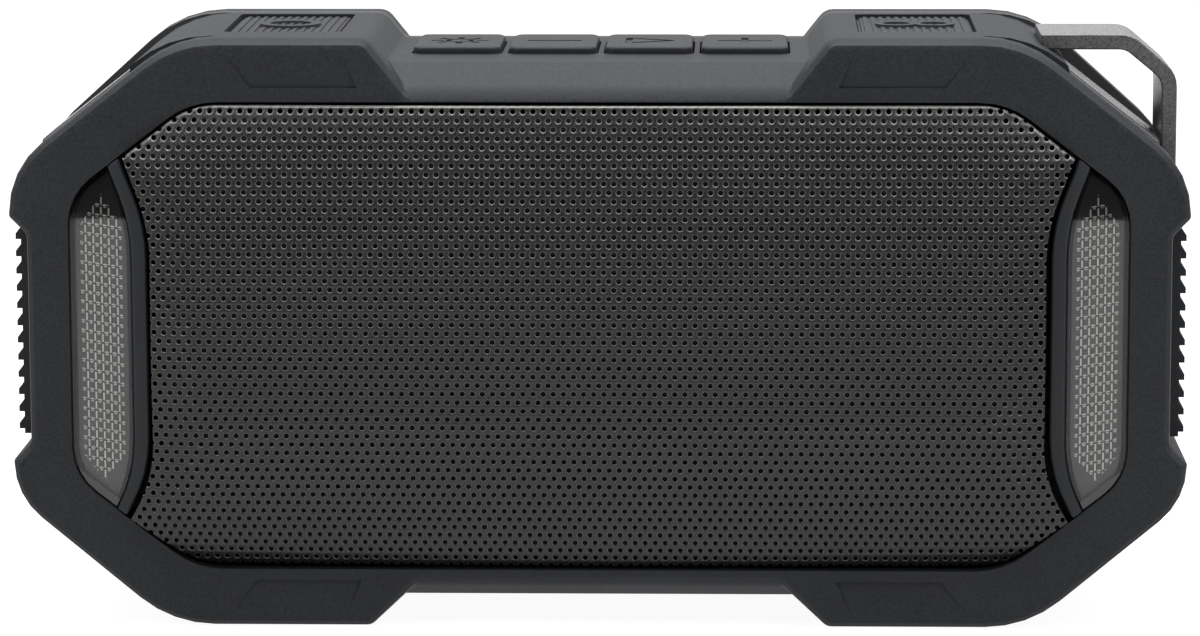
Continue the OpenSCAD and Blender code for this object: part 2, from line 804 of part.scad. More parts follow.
// Light window pieces are drawn for the right side and mirrored for the left
module light_bezel(s) {
    color("darkslategray") mirrored_x(s) difference() {
        intersection() {
            opening(fit_gap, front_y, seam_y);
            beyond(bezel_curve, 0, front_y - cut, seam_y);
        }
        beyond(window_curve, 0, front_y - cut, seam_y + cut);
    }
}

module window_space(d, y0, y1) {
    intersection() {
        opening(fit_gap + d, y0, y1);
        beyond(window_curve, fit_gap + d, y0 - cut, y1 + cut);
    }
}

module light_lens(s) {
    color("slategray", 0.6) mirrored_x(s) difference() {
        window_space(0, window_y, seam_y);
        window_space(cup_t, window_y + window_t, seam_y + cut);
    }
}

// Grooves between the pyramids, up the window and across it
module knurl_grooves() {
    rows = ceil(body_h / knurl_z / 2);
    for (i = [-knurl_cols:knurl_cols])
        translate([window_mid_x + i * knurl_x, diffuser_y, mid_z]) linear_extrude(body_h, center = true)
            polygon([
                [-knurl_t, 0], [-knurl_t, -knurl_over], [knurl_t, -knurl_over], [knurl_t, 0], [0, knurl_t]
            ]);
    for (j = [-rows:rows])
        translate([window_mid_x, diffuser_y, mid_z + j * knurl_z]) rotate([0, -knurl_lean, 0])
            along_x(-window_w, window_w) polygon([
                [0, -knurl_t], [-knurl_over, -knurl_t], [-knurl_over, knurl_t], [0, knurl_t], [knurl_t, 0]
            ]);
}

module light_diffuser(s) {
    color("tan") mirrored_x(s) difference() {
        window_space(cup_t + fit_gap, diffuser_y, light_board_y);
        window_space(2 * cup_t + fit_gap, diffuser_y + diffuser_t, light_board_y + cut);
        intersection() {
            knurl_grooves();
            along_y(diffuser_y - cut, light_board_y) polygon(knurl_outline);
        }
    }
}

module light_board(s) {
    color("darkgreen") mirrored_x(s) union() {
        window_space(cup_t + fit_gap, light_board_y, seam_y);
        for (i = [0:led_count - 1]) {
            z = bend_low + 3 * led_half + i * led_pitch;
            span([window_mid_x - led_half, light_board_y - led_t, z - led_half],
                 [window_mid_x + led_half, light_board_y + chip_sink, z + led_half]);
        }
    }
}

// A key that slides down through the top: rounded cap, retaining flange and stem
module key_body(x, y, w, d, top, under_roof, r) {
    flange_z = under_roof - run_gap - flange_t;
    union() {
        round_block(x, y, w, d, r, flange_z + flange_sink, top);
        round_block(x, y, w, d + 2 * flange_reach, r, flange_z, flange_z + flange_t);
        translate([x, y, stem_z]) cylinder(h = flange_z + flange_sink - stem_z, r = stem_r, $fn = 48);
    }
}

// A strip key: its cap ends in an eased rim
module strip_key(x) {
    top = strip_z + key_proud;
    cap = [[key_w / 2, -key_d / 2], [key_w / 2, key_d / 2]];
    rings = [for (e = edge_steps(key_rim, 2)) ring_at(outline(cap, [key_r, key_r], e[0]), e[1])];
    color("dimgray") union() {
        key_body(x, key_y, key_w, key_d, top - key_rim, roof_z, key_r);
        translate([x, key_y, top]) rotate([-90, 0, 0]) loft(rings);
    }
}

// A pad key: ribs run from front to back across its top
module pad_key(x) {
    rib_half = rib_pitch / 4;
    ribs = floor((pad_key_w - 2 * rib_end) / rib_pitch / 2);
    rib_y = pad_key_d / 2 - rib_end;
    color("dimgray") union() {
        key_body(x, pad_key_y, pad_key_w, pad_key_d, pad_key_top - rib_h, roof_z, pad_key_r);
        for (i = [-ribs:ribs])
            span([x + i * rib_pitch - rib_half, pad_key_y - rib_y, pad_key_top - rib_h - rib_sink],
                 [x + i * rib_pitch + rib_half, pad_key_y + rib_y, pad_key_top]);
    }
}

module key_board() {
    color("darkgreen") difference() {
        round_block(0, key_y, key_board_w, key_board_d, 2, board_z, board_z + board_t);
        post_places(board_z - cut) cylinder(h = board_t + 2 * cut, r = pilot_r + hole_gap, $fn = 32);
    }
}

module tact_switch(x, y) {
    translate([x, y, board_z + board_t]) union() {
        translate([-switch_w / 2, -switch_w / 2, 0]) cube([switch_w, switch_w, switch_h]);
        cylinder(h = switch_h + plunger_h, r = plunger_r, $fn = 32);
    }
}

module tact_switches() {
    color("silver") {
        for (x = strip_key_xs) tact_switch(x, key_y);
        for (x = pad_key_xs) tact_switch(x, pad_key_y);
    }
}

// Driver pieces
module driver_screw_places(x) {
    for (a = [45:90:315])
        translate([x + driver_pcd_r * cos(a), 0, driver_z + driver_pcd_r * sin(a)]) children();
}

module driver_frame(x) {
    lip = driver_r - hole_edge - basket_fit;
    back = magnet_r - magnet_edge;
    color("darkgray") difference() {
        turned(x, driver_z) polygon([
            [surround_out, flange_y], [driver_r, flange_y], [driver_r, seam_y], [lip, seam_y],
            [lip, baffle_y], [back, basket_y - basket_t], [back, basket_y], [coil_r + 2, basket_y],
            [coil_r + 2, basket_y - basket_t], [back - basket_t, basket_y - basket_t],
            [lip - basket_t, baffle_y]
        ]);
        driver_screw_places(x) bar_y(0, 0, driver_screw_r + hole_gap, flange_y - cut, seam_y + cut);
        for (a = [0:90:270]) translate([x, 0, driver_z]) rotate([0, a, 0])
            span([back - 3, baffle_y + 2, -basket_slot], [driver_r, basket_y - 3, basket_slot]);
    }
}

module driver_magnet(x) {
    slot_y = coil_end + 2 * cone_travel;
    end_y = basket_y + magnet_t;
    color("darkslategray") turned(x, driver_z) polygon([
        [0, basket_y], [coil_in - coil_gap, basket_y], [coil_in - coil_gap, slot_y],
        [coil_out + coil_gap, slot_y], [coil_out + coil_gap, basket_y],
        [magnet_r - magnet_edge, basket_y], [magnet_r, basket_y + magnet_edge],
        [magnet_r, end_y - magnet_edge], [magnet_r - magnet_edge, end_y], [0, end_y]
    ]);
}

// Points of the surround's roll, at a radius from its middle
function roll_point(i, r) =
    [roll_c - r * cos(180 * i / roll_steps), flange_y - roll_t - r * sin(180 * i / roll_steps)];

module driver_surround(x) {
    rim = surround_out + surround_lip;
    color("black") turned(x, driver_z) polygon(concat(
        [for (i = [0:roll_steps]) roll_point(i, roll_r)],
        [[rim, flange_y - roll_t], [rim, flange_y], [surround_out - roll_t, flange_y]],
        [for (i = [roll_steps:-1:0]) roll_point(i, roll_r - roll_t)],
        [[surround_in + roll_t, flange_y + 1], [surround_in, flange_y + 1]]
    ));
}

module driver_cone(x) {
    color("gray") turned(x, driver_z) polygon([
        [0, cone_neck_y - 3.4], [cap_r, cone_neck_y - 2.9], [coil_out + 0.6, cone_neck_y - 1.2],
        [cone_r - 1, flange_y - 0.2], [cone_r, flange_y - 0.4], [cone_r, flange_y + 0.3],
        [coil_out, cone_neck_y], [coil_out, coil_end], [coil_in, coil_end],
        [coil_in, cone_neck_y - 1], [cap_r, cone_neck_y - 2.3], [0, cone_neck_y - 2.8]
    ]);
}

// A screw with a rounded head, its shank along +Y
module pan_screw(shank_r, head_r, head_t, length) {
    turned(0, 0) polygon([
        [0, -head_t], [0.7 * head_r, -head_t], [head_r, -head_t / 2], [head_r, 0],
        [shank_r, 0], [shank_r, length], [0, length]
    ]);
}

module driver_screws() {
    color("silver") for (x = [-driver_x, driver_x])
        driver_screw_places(x) translate([0, flange_y, 0])
            pan_screw(driver_screw_r, driver_head_r, driver_head_t, driver_screw_l);
}

module rear_screws() {
    color("silver") for (p = boss_places)
        translate([p[0], panel_y - screw_head_t, p[1]]) rotate([0, 0, 180])
            pan_screw(screw_r, screw_head_r, screw_head_t, rear_t + screw_extra);
}

// Screws through the main board into the rear cover, and up through the key board into the posts
module board_places() {
    dx = board_w / 2 - board_inset;
    dz = board_h / 2 - board_inset;
    for (sx = [-1, 1], sz = [-1, 1]) translate([board_x + sx * dx, 0, mid_z + sz * dz]) children();
}

module board_screws() {
    color("silver") {
        board_places() translate([0, main_board_y, 0])
            pan_screw(pilot_r, small_head_r, small_head_t, board_screw_l);
        post_places(board_z) rotate([90, 0, 0]) pan_screw(pilot_r, small_head_r, small_head_t, post_screw_l);
    }
}

module cell_places(z) {
    for (s = [-1, 1]) translate([s * cell_x, cell_y, z]) children();
}

module battery_cells() {
    color("steelblue") cell_places(cell_z) union() {
        cylinder(h = cell_h, r = cell_r, $fn = 64);
        cylinder(h = cell_h + cell_tip_h, r = cell_tip_r, $fn = 32);
    }
}

module battery_holder() {
    half = holder_w / 2;
    back_y = cover_y - holder_back;
    color("dimgray") difference() {
        union() {
            span([-half, cell_y - cell_r + holder_wall, cavity_low], [half, back_y, cell_z]);
            span([-half, cell_y + holder_lip, cavity_low], [half, back_y, cell_z + cell_h]);
        }
        cell_places(cell_z) cylinder(h = cell_h + cut, r = cell_r + fit_gap, $fn = 64);
    }
}

module main_board() {
    half_w = board_w / 2;
    half_h = board_h / 2;
    chip_y = main_board_y + chip_sink;
    color("darkgreen") difference() {
        union() {
            span([board_x - half_w, main_board_y, mid_z - half_h],
                 [board_x + half_w, main_board_y + board_t, mid_z + half_h]);
            span([board_x - chip_half, main_board_y - chip_t, chip_z - chip_half],
                 [board_x + chip_half, chip_y, chip_z + chip_half]);
            span([choke_x - choke_half_w, main_board_y - choke_t, choke_z - choke_half_h],
                 [choke_x + choke_half_w, chip_y, choke_z + choke_half_h]);
        }
        board_places() bar_y(0, 0, pilot_r + hole_gap, main_board_y - cut, main_board_y + board_t + cut);
    }
}

module usb_socket() {
    half_w = port_w / 2;
    half_h = port_h / 2;
    floor_y = port_front_y - port_depth;
    color("silver") union() {
        difference() {
            span([port_x - half_w, main_board_y + board_t, port_z - half_h],
                 [port_x + half_w, port_front_y, port_z + half_h]);
            span([port_x - half_w + port_wall, floor_y, port_z - half_h + port_wall],
                 [port_x + half_w - port_wall, port_front_y + cut, port_z + half_h - port_wall]);
        }
        span([port_x - tongue_w / 2, floor_y - tongue_root, port_z - tongue_t / 2],
             [port_x + tongue_w / 2, port_front_y - 1, port_z + tongue_t / 2]);
    }
}

module port_flap() {
    half_w = flap_w / 2 - run_gap;
    pin_w = half_w + flap_pin_reach;
    color("black") union() {
        span([port_x - half_w, flap_y - flap_t / 2, port_z - flap_h / 2 + run_gap],
             [port_x + half_w, flap_y + flap_t / 2, flap_z]);
        along_x(port_x - half_w, port_x + half_w) translate([flap_y, flap_z]) circle(r = knuckle_r, $fn = 32);
        along_x(port_x - pin_w, port_x + pin_w) translate([flap_y, flap_z]) circle(r = flap_pin_r, $fn = 32);
    }
}

module carry_loop() {
    color("slategray") strap(0);
}

front_frame();
main_housing();
rear_cover();
rear_frame();
housing_gasket();
grille();
grille_cloth();
light_bezel(-1);  // light_bezel_left
light_bezel(1);  // light_bezel_right
light_lens(-1);  // light_lens_left
light_lens(1);  // light_lens_right
light_diffuser(-1);  // light_diffuser_left
light_diffuser(1);  // light_diffuser_right
light_board(-1);  // light_board_left
light_board(1);  // light_board_right
strip_key(strip_key_xs[0]);  // light_button
strip_key(strip_key_xs[1]);  // volume_down_button
strip_key(strip_key_xs[2]);  // play_button
strip_key(strip_key_xs[3]);  // volume_up_button
pad_key(-pad_key_x);  // power_key
pad_key(pad_key_x);  // link_key
key_board();
tact_switches();
driver_frame(-driver_x);  // driver_frame_left
driver_frame(driver_x);  // driver_frame_right
driver_magnet(-driver_x);  // driver_magnet_left
driver_magnet(driver_x);  // driver_magnet_right
driver_surround(-driver_x);  // driver_surround_left
driver_surround(driver_x);  // driver_surround_right
driver_cone(-driver_x);  // driver_cone_left
driver_cone(driver_x);  // driver_cone_right
driver_screws();
battery_cells();
battery_holder();
main_board();
usb_socket();
port_flap();
carry_loop();
rear_screws();
board_screws();
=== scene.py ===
import math

import bpy
import numpy as np
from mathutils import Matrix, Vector


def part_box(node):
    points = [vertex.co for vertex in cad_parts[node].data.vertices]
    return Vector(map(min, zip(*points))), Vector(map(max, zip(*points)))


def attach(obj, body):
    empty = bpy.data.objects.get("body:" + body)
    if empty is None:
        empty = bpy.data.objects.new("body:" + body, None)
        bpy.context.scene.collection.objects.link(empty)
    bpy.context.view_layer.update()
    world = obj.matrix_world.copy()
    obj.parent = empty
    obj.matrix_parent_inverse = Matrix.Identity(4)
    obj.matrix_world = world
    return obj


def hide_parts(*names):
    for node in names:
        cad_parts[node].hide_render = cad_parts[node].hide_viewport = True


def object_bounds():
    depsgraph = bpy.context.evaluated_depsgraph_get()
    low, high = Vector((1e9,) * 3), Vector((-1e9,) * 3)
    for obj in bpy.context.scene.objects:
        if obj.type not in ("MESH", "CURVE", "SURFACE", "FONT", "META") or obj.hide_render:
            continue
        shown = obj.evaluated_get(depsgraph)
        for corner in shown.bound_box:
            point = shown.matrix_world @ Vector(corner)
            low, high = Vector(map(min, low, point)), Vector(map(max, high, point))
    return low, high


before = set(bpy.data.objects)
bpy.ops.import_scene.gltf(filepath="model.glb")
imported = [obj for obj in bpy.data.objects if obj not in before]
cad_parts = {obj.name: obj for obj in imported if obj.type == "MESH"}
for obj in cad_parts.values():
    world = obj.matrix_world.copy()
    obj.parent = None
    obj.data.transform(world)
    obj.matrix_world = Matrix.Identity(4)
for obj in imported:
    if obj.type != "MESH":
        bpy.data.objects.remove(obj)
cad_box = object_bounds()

MM = 0.001

# Front and rear bumpers: the two eight-sided frames that take the knocks.
# Charcoal thermoplastic rubber with a fine moulded grain, pulled over the edges of the case.
# Each is its solid with the mould's sharp edges eased.
bumper_ease = 0.3 * MM
bumper_sharp = 20
rubber_colour = (0.0142, 0.0152, 0.0172, 1)
rubber_grain = 2200
merge_gap = 0.002 * MM
flat_turn = math.radians(0.6)


def pick(piece):
    """Make one object the only selected one, and the active one."""
    bpy.ops.object.select_all(action="DESELECT")
    piece.select_set(True)
    bpy.context.view_layer.objects.active = piece


def open_mesh(piece):
    """Go into edit mode on one piece, with its whole mesh selected."""
    pick(piece)
    bpy.ops.object.mode_set(mode="EDIT")
    bpy.ops.mesh.select_all(action="SELECT")


def close_mesh():
    """Go back to object mode."""
    bpy.ops.object.mode_set(mode="OBJECT")


def copy_of(node, name):
    """A copy of a solid, with its loose triangles merged into one clean skin."""
    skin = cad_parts[node].data.copy()
    skin.name = name
    piece = bpy.data.objects.new(name, skin)
    bpy.context.scene.collection.objects.link(piece)
    pick(piece)
    bpy.ops.mesh.customdata_custom_splitnormals_clear()
    open_mesh(piece)
    bpy.ops.mesh.remove_doubles(threshold=merge_gap)
    bpy.ops.mesh.dissolve_limited(angle_limit=flat_turn)
    close_mesh()
    return piece


def apply_modifier(piece, kind, **settings):
    """Add a modifier with its settings and apply it."""
    pick(piece)
    modifier = piece.modifiers.new(kind.lower(), kind)
    for setting, value in settings.items():
        setattr(modifier, setting, value)
    bpy.ops.object.modifier_apply(modifier=modifier.name)


def ease_edges(piece, width, segments=2, sharp=32):
    """Round the edges sharper than an angle, then shade the piece by its larger faces."""
    apply_modifier(piece, "BEVEL", width=width, segments=segments, limit_method="ANGLE",
                   angle_limit=math.radians(sharp), miter_outer="MITER_ARC", use_clamp_overlap=True)
    bpy.ops.object.shade_smooth_by_angle(angle=math.radians(sharp))
    apply_modifier(piece, "WEIGHTED_NORMAL", keep_sharp=True, weight=80)


def add_node(tree, kind, sockets=None, **settings):
    """A shader node with its settings, and with values on its sockets."""
    made = tree.nodes.new(kind)
    for setting, value in settings.items():
        setattr(made, setting, value)
    for label, value in (sockets or {}).items():
        made.inputs[label].default_value = value
    return made


def link_up(tree, *pairs):
    """Join sockets of a node tree, each pair from an output to an input."""
    for start, end in pairs:
        tree.links.new(start, end)


def reckon(tree, operation, *values):
    """A math node on sockets or plain numbers, and its result."""
    made = add_node(tree, "ShaderNodeMath", operation=operation)
    for index, value in enumerate(values):
        if isinstance(value, bpy.types.NodeSocket):
            tree.links.new(value, made.inputs[index])
        else:
            made.inputs[index].default_value = value
    return made.outputs[0]


def start_group(name, inputs, outputs):
    """An empty node group with named sockets, and its two end nodes."""
    group = bpy.data.node_groups.new(name, "ShaderNodeTree")
    for label, kind, value in inputs:
        socket = group.interface.new_socket(name=label, in_out="INPUT", socket_type=kind)
        socket.default_value = value
    for label, kind in outputs:
        group.interface.new_socket(name=label, in_out="OUTPUT", socket_type=kind)
    return group, group.nodes.new("NodeGroupInput"), group.nodes.new("NodeGroupOutput")


def start_material(name, **sockets):
    """A material with its Principled shader set by plain values."""
    made = bpy.data.materials.new(name)
    made.use_nodes = True
    shader = made.node_tree.nodes["Principled BSDF"]
    for label, value in sockets.items():
        shader.inputs[label.replace("_", " ").title().replace("Ior", "IOR")].default_value = value
    return made, shader


def add_bump(tree, shader, height, strength, distance):
    """Feed a height into the shader's normal."""
    bump = add_node(tree, "ShaderNodeBump", {"Strength": strength, "Distance": distance})
    link_up(tree, (height, bump.inputs["Height"]), (bump.outputs["Normal"], shader.inputs["Normal"]))


# The grain group speckles a colour, varies it broadly and gives roughness and height from the same grain
grain_group, grain_in, grain_out = start_group("moulded_grain", [
    ("Colour", "NodeSocketColor", (0.02, 0.02, 0.02, 1)), ("Grain", "NodeSocketFloat", 4000.0),
    ("Speckle", "NodeSocketFloat", 0.25),
    ("Smooth", "NodeSocketFloat", 0.5), ("Rough", "NodeSocketFloat", 0.7),
], [("Colour", "NodeSocketColor"), ("Roughness", "NodeSocketFloat"), ("Height", "NodeSocketFloat")])
grain_place = add_node(grain_group, "ShaderNodeTexCoord")
grain_fine = add_node(grain_group, "ShaderNodeTexNoise", {"Detail": 2.0, "Roughness": 0.6})
grain_broad = add_node(grain_group, "ShaderNodeTexNoise", {"Scale": 42.0, "Detail": 4.0, "Roughness": 0.55})
grain_swing = reckon(grain_group, "SUBTRACT", grain_fine.outputs["Fac"], 0.5)
grain_speckle = reckon(grain_group, "MULTIPLY_ADD", grain_swing, grain_in.outputs["Speckle"], 0.75)
grain_drift = reckon(grain_group, "MULTIPLY", grain_broad.outputs["Fac"], 0.5)
grain_tone = reckon(grain_group, "ADD", grain_speckle, grain_drift)
grain_colour = add_node(grain_group, "ShaderNodeVectorMath", operation="SCALE")
grain_rough = add_node(grain_group, "ShaderNodeMapRange", {"From Min": 0.3, "From Max": 0.7})
link_up(
    grain_group,
    (grain_place.outputs["Object"], grain_fine.inputs["Vector"]),
    (grain_place.outputs["Object"], grain_broad.inputs["Vector"]),
    (grain_in.outputs["Grain"], grain_fine.inputs["Scale"]),
    (grain_in.outputs["Colour"], grain_colour.inputs[0]),
    (grain_tone, grain_colour.inputs["Scale"]),
    (grain_fine.outputs["Fac"], grain_rough.inputs["Value"]),
    (grain_in.outputs["Smooth"], grain_rough.inputs["To Min"]),
    (grain_in.outputs["Rough"], grain_rough.inputs["To Max"]),
    (grain_colour.outputs[0], grain_out.inputs["Colour"]),
    (grain_rough.outputs[0], grain_out.inputs["Roughness"]),
    (grain_fine.outputs["Fac"], grain_out.inputs["Height"]),
)


def grained(name, colour, grain, speckle, smooth, rough, bump=0.3, depth=0.05 * MM, **sockets):
    """A moulded finish: the grain group drives colour, roughness and bump."""
    made, shader = start_material(name, **sockets)
    tree = made.node_tree
    values = {"Colour": colour, "Grain": grain, "Speckle": speckle, "Smooth": smooth, "Rough": rough}
    group = add_node(tree, "ShaderNodeGroup", node_tree=grain_group)
    for label, value in values.items():
        group.inputs[label].default_value = value
    link_up(tree, (group.outputs["Colour"], shader.inputs["Base Color"]),
            (group.outputs["Roughness"], shader.inputs["Roughness"]))
    add_bump(tree, shader, group.outputs["Height"], bump, depth)
    return made


def fit(piece, finish, slot, body, *nodes):
    """Give a piece its finish, the body it rides on and the solids it stands for."""
    piece.data.materials.clear()
    piece.data.materials.append(finish)
    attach(piece, body)
    if nodes:
        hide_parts(*nodes)


rubber = grained("charcoal_rubber", rubber_colour, grain=rubber_grain, speckle=2.0, smooth=0.52, rough=0.72,
                 specular_ior_level=0.2)
for node, name in (("front_frame", "front_bumper"), ("rear_frame", "rear_bumper")):
    bumper = copy_of(node, name)
    ease_edges(bumper, bumper_ease, sharp=bumper_sharp)
    fit(bumper, rubber, "case_rubber", "case", node)

# Case shell: the middle of the body, with the grip ribs, the key strip and the two top pads.
# The same charcoal rubber, moulded over a stiff core; its baffle, bosses and posts are inside.
# A low glossy lip, let into the moulding, lies on each upper bevel.
shell_ease = 0.25 * MM
shell_sharp = 38
lip_fall = 22.3 * MM
lip_run = 28.5 * MM
lip_turn = math.atan2(lip_fall, lip_run)
lip_middle = (85.75 * MM, -5 * MM, 89.85 * MM)
lip_size = (24 * MM, 20 * MM, 4.5 * MM)
lip_proud = 0.3 * MM
lip_ease = 0.6 * MM
shell = copy_of("main_housing", "case_shell")
ease_edges(shell, shell_ease, sharp=shell_sharp)
fit(shell, rubber, "case_rubber", "case", "main_housing")
lip_gloss = grained("lip_gloss", (0.03, 0.03, 0.032, 1), grain=rubber_grain, speckle=0.5, smooth=0.18,
                    rough=0.3, bump=0.05)
for side, across in (("left", -1), ("right", 1)):
    bpy.ops.object.select_all(action="DESELECT")
    bpy.ops.mesh.primitive_cube_add(size=1, scale=lip_size, location=(0, 0, lip_proud - lip_size[2] / 2))
    lip = bpy.context.object
    lip.name = "shell_lip_" + side
    bpy.ops.object.transform_apply(location=True, scale=True)
    lip.rotation_euler = (0, across * lip_turn, 0)
    lip.location = (across * lip_middle[0], lip_middle[1], lip_middle[2])
    bpy.ops.object.transform_apply(location=True, rotation=True)
    ease_edges(lip, lip_ease, segments=3)
    fit(lip, lip_gloss, "case_rubber", "case")

# Grille: the domed steel sheet over the drivers, punched with staggered round holes and painted dark grey.
# One cell with its rimmed hole is arrayed into a flat sheet, trimmed to the opening and pressed into a dome
# with a bead along its upper edge. A plain skirt, folded back behind the edge, holds it in the frame.
grille_low, grille_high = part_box("grille")
lens_low, lens_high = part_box("light_lens_right")
bezel_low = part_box("light_bezel_right")[0]

# The holes, each with a dished rim
hole_pitch = 1.705 * MM
hole_radius = 0.46 * MM
hole_aside = 0.75 * MM
hole_down = 0.4 * MM
rim_radius = 0.64 * MM
rim_depth = 0.18 * MM
rim_corners = 8
rim_share = hole_radius / rim_radius

# The outline: straight upper and lower edges, bevelled corners with a rounding, and sides that lean out
dome_z = (grille_low.z + grille_high.z) / 2
edge_u = (grille_high.z - grille_low.z) / 2
edge_gap = 0.5 * MM
side_gap = 1.1 * MM
side_slant = 0.97
edge_x = bezel_low.x - side_gap
corner_r = 13.5 * MM
corner_steps = 5
bevel_w = 20.9 * MM
bevel_h = 16 * MM
bevel_turn = math.atan2(bevel_w, bevel_h)
bevel_x = lens_high.x - bevel_w
bevel_reach = bevel_x * math.cos(bevel_turn) + (edge_u + edge_gap) * math.sin(bevel_turn) - edge_gap

# Over and under the middle: where the side starts to lean, how steeply, and half the length of its bend
edge_bends = {1: (19.15 * MM, 0.4, 5.8 * MM), -1: (23.95 * MM, 0.6, 6.6 * MM)}

# The dome: a flat crown, rounder shoulders, a roll along the sides and the bead
crown_y = grille_low.y
crown_r = 146 * MM
crown_u = 24 * MM
crown_turn = math.asin(crown_u / crown_r)
upper_r = 120 * MM
lower_r = 39 * MM
shoulder_end = 0.95
roll_width = 9 * MM
roll_drop = 1.2 * MM
bead_r = 0.45 * MM
bead_lines = (0.2 * MM, 0.45 * MM)
bead_bright = 1.1 * bead_lines[0]

# The skirt, which starts a hair inside the edge
skirt_y = grille_high.y - edge_gap
skirt_steps = 90
skirt_inset = 0.05 * MM
skirt_share = 0.999

# The field of cells before it is trimmed
row_step = hole_pitch * math.sqrt(3) / 2
rows = 2 * math.ceil(edge_u / row_step + 1)
columns = 2 * math.ceil(lens_high.x / hole_pitch)
cell_shares = [(0.75, 0.5), (-0.25, 0.5), (-0.75, -0.5), (0.25, -0.5)]
cell_weld = 0.01 * MM
field_weld = 0.02 * MM
edge_weld = 0.001 * MM


def edge_lean(z):
    """How far the side of the opening leans out at a height."""
    lean = np.zeros_like(z)
    for side, (start, slope, ease) in edge_bends.items():
        past = side * (z - dome_z) - start
        curve = slope * (past + ease) ** 2 / (4 * ease)
        lean += np.where(past < -ease, 0, np.where(past < ease, curve, slope * past))
    return lean


def bevel_planes():
    """Turn and reach of the lines that trim one corner: the bevel and the steps of its rounding."""
    centre_u = edge_u - corner_r
    centre_x = (bevel_reach - corner_r - centre_u * math.sin(bevel_turn)) / math.cos(bevel_turn)
    turns = [bevel_turn + (math.pi / 2 - bevel_turn) * step / corner_steps for step in range(corner_steps)]
    return [(t, centre_x * math.cos(t) + centre_u * math.sin(t) + corner_r) for t in turns]


def bevel_distance(x, up):
    """Distance of points from the nearest line of an upper corner, at a height over the middle."""
    lines = [reach - np.abs(x) * math.cos(turn) - up * math.sin(turn) for turn, reach in bevel_planes()]
    return np.min(lines, axis=0)


def side_distance(x, z):
    """Distance of points inside the sheet from its nearest side or bevel."""
    side = (edge_x + edge_lean(z) - np.abs(x)) * side_slant
    return np.maximum(np.minimum(side, bevel_distance(x, np.abs(z - dome_z))), 0)


def top_distance(x, z):
    """Distance of points from the upper edge and the upper bevels."""
    up = z - dome_z
    return np.maximum(np.minimum(edge_u - up, bevel_distance(x, up)), 0)


def shoulder_depth(up, radius):
    """Depth of a round shoulder that runs on from the crown."""
    middle_u = (crown_r - radius) * math.sin(crown_turn)
    middle_y = crown_y + crown_r - (crown_r - radius) * math.cos(crown_turn)
    past = np.clip(up - middle_u, 0, shoulder_end * radius)
    return middle_y - np.sqrt(radius ** 2 - past ** 2)


def dome_depth(x, z):
    """Depth of the sheet's face: crown, shoulders, the roll along the sides and the bead."""
    up = np.abs(z - dome_z)
    crown = crown_y + crown_r - np.sqrt(crown_r ** 2 - np.minimum(up, crown_u) ** 2)
    shoulder = np.where(z > dome_z, shoulder_depth(up, upper_r), shoulder_depth(up, lower_r))
    roll = roll_drop * np.clip(1 - side_distance(x, z) / roll_width, 0, 1) ** 2
    past = np.clip(bead_r - top_distance(x, z), 0, bead_r)
    bead = bead_r - np.sqrt(bead_r ** 2 - past ** 2)
    return np.where(up < crown_u, crown, shoulder) + roll + bead


def points_of(piece):
    """All vertex places of a mesh as an array."""
    points = np.empty(len(piece.data.vertices) * 3)
    piece.data.vertices.foreach_get("co", points)
    return points.reshape(-1, 3)


def set_points(piece, points):
    """Write the vertex places of a mesh back."""
    piece.data.vertices.foreach_set("co", points.ravel())
    piece.data.update()


def trim(piece, place, normal, drop=True):
    """Cut a mesh by a plane, and drop what lies on the normal's side or keep both parts."""
    open_mesh(piece)
    bpy.ops.mesh.bisect(plane_co=place, plane_no=normal, clear_outer=drop, threshold=1e-7)
    close_mesh()


def trim_end(piece, side, inset, drop=True):
    """Cut a flat sheet along its upper (1) or lower (-1) edge and along the bevels at that end."""
    trim(piece, (0, 0, dome_z + side * (edge_u - inset)), (0, 0, side), drop)
    for across in (1, -1):
        for turn, reach in bevel_planes():
            normal = Vector((across * math.cos(turn), 0, side * math.sin(turn)))
            trim(piece, Vector((0, 0, dome_z)) + normal * (reach - inset), normal, drop)


def trim_to_opening(piece, inset):
    """Trim a flat sheet to the opening's outline, smaller by an inset."""
    for side in (1, -1):
        trim_end(piece, side, inset)
    points = points_of(piece)
    points[:, 0] /= 1 + edge_lean(points[:, 2]) / edge_x
    set_points(piece, points)
    for across in (1, -1):
        trim(piece, (across * (edge_x - inset), 0, 0), (across, 0, 0))
    points = points_of(piece)
    points[:, 0] *= 1 + edge_lean(points[:, 2]) / edge_x
    set_points(piece, points)


def merge_and_turn_out(piece, weld):
    """Merge the doubles of a mesh and point its faces outwards."""
    open_mesh(piece)
    bpy.ops.mesh.remove_doubles(threshold=weld)
    bpy.ops.mesh.normals_make_consistent(inside=False)
    close_mesh()


# One cell: the hole's rim, dished inwards, in a leaning four-cornered plate
bpy.ops.object.select_all(action="DESELECT")
bpy.ops.mesh.primitive_circle_add(vertices=rim_corners, radius=rim_radius, rotation=(math.pi / 2, 0, 0))
sheet = bpy.context.object
sheet.name = "grille_sheet"
bpy.ops.object.transform_apply(rotation=True)
open_mesh(sheet)
bpy.ops.mesh.extrude_edges_move(TRANSFORM_OT_translate={"value": (0, rim_depth, 0)})
bpy.ops.transform.resize(value=(rim_share, 1, rim_share), center_override=(0, 0, 0))
bpy.ops.mesh.select_all(action="DESELECT")
close_mesh()
for v in sheet.data.vertices:
    v.select = v.co.y < rim_depth / 2
bpy.ops.object.mode_set(mode="EDIT")
bpy.ops.mesh.extrude_edges_move()
close_mesh()
cell_corners = [Vector((right * hole_pitch, 0, up * row_step)) for right, up in cell_shares]
for v in [v for v in sheet.data.vertices if v.select]:
    v.co = max(cell_corners, key=lambda corner: corner.normalized().dot(v.co.normalized()))
merge_and_turn_out(sheet, cell_weld)

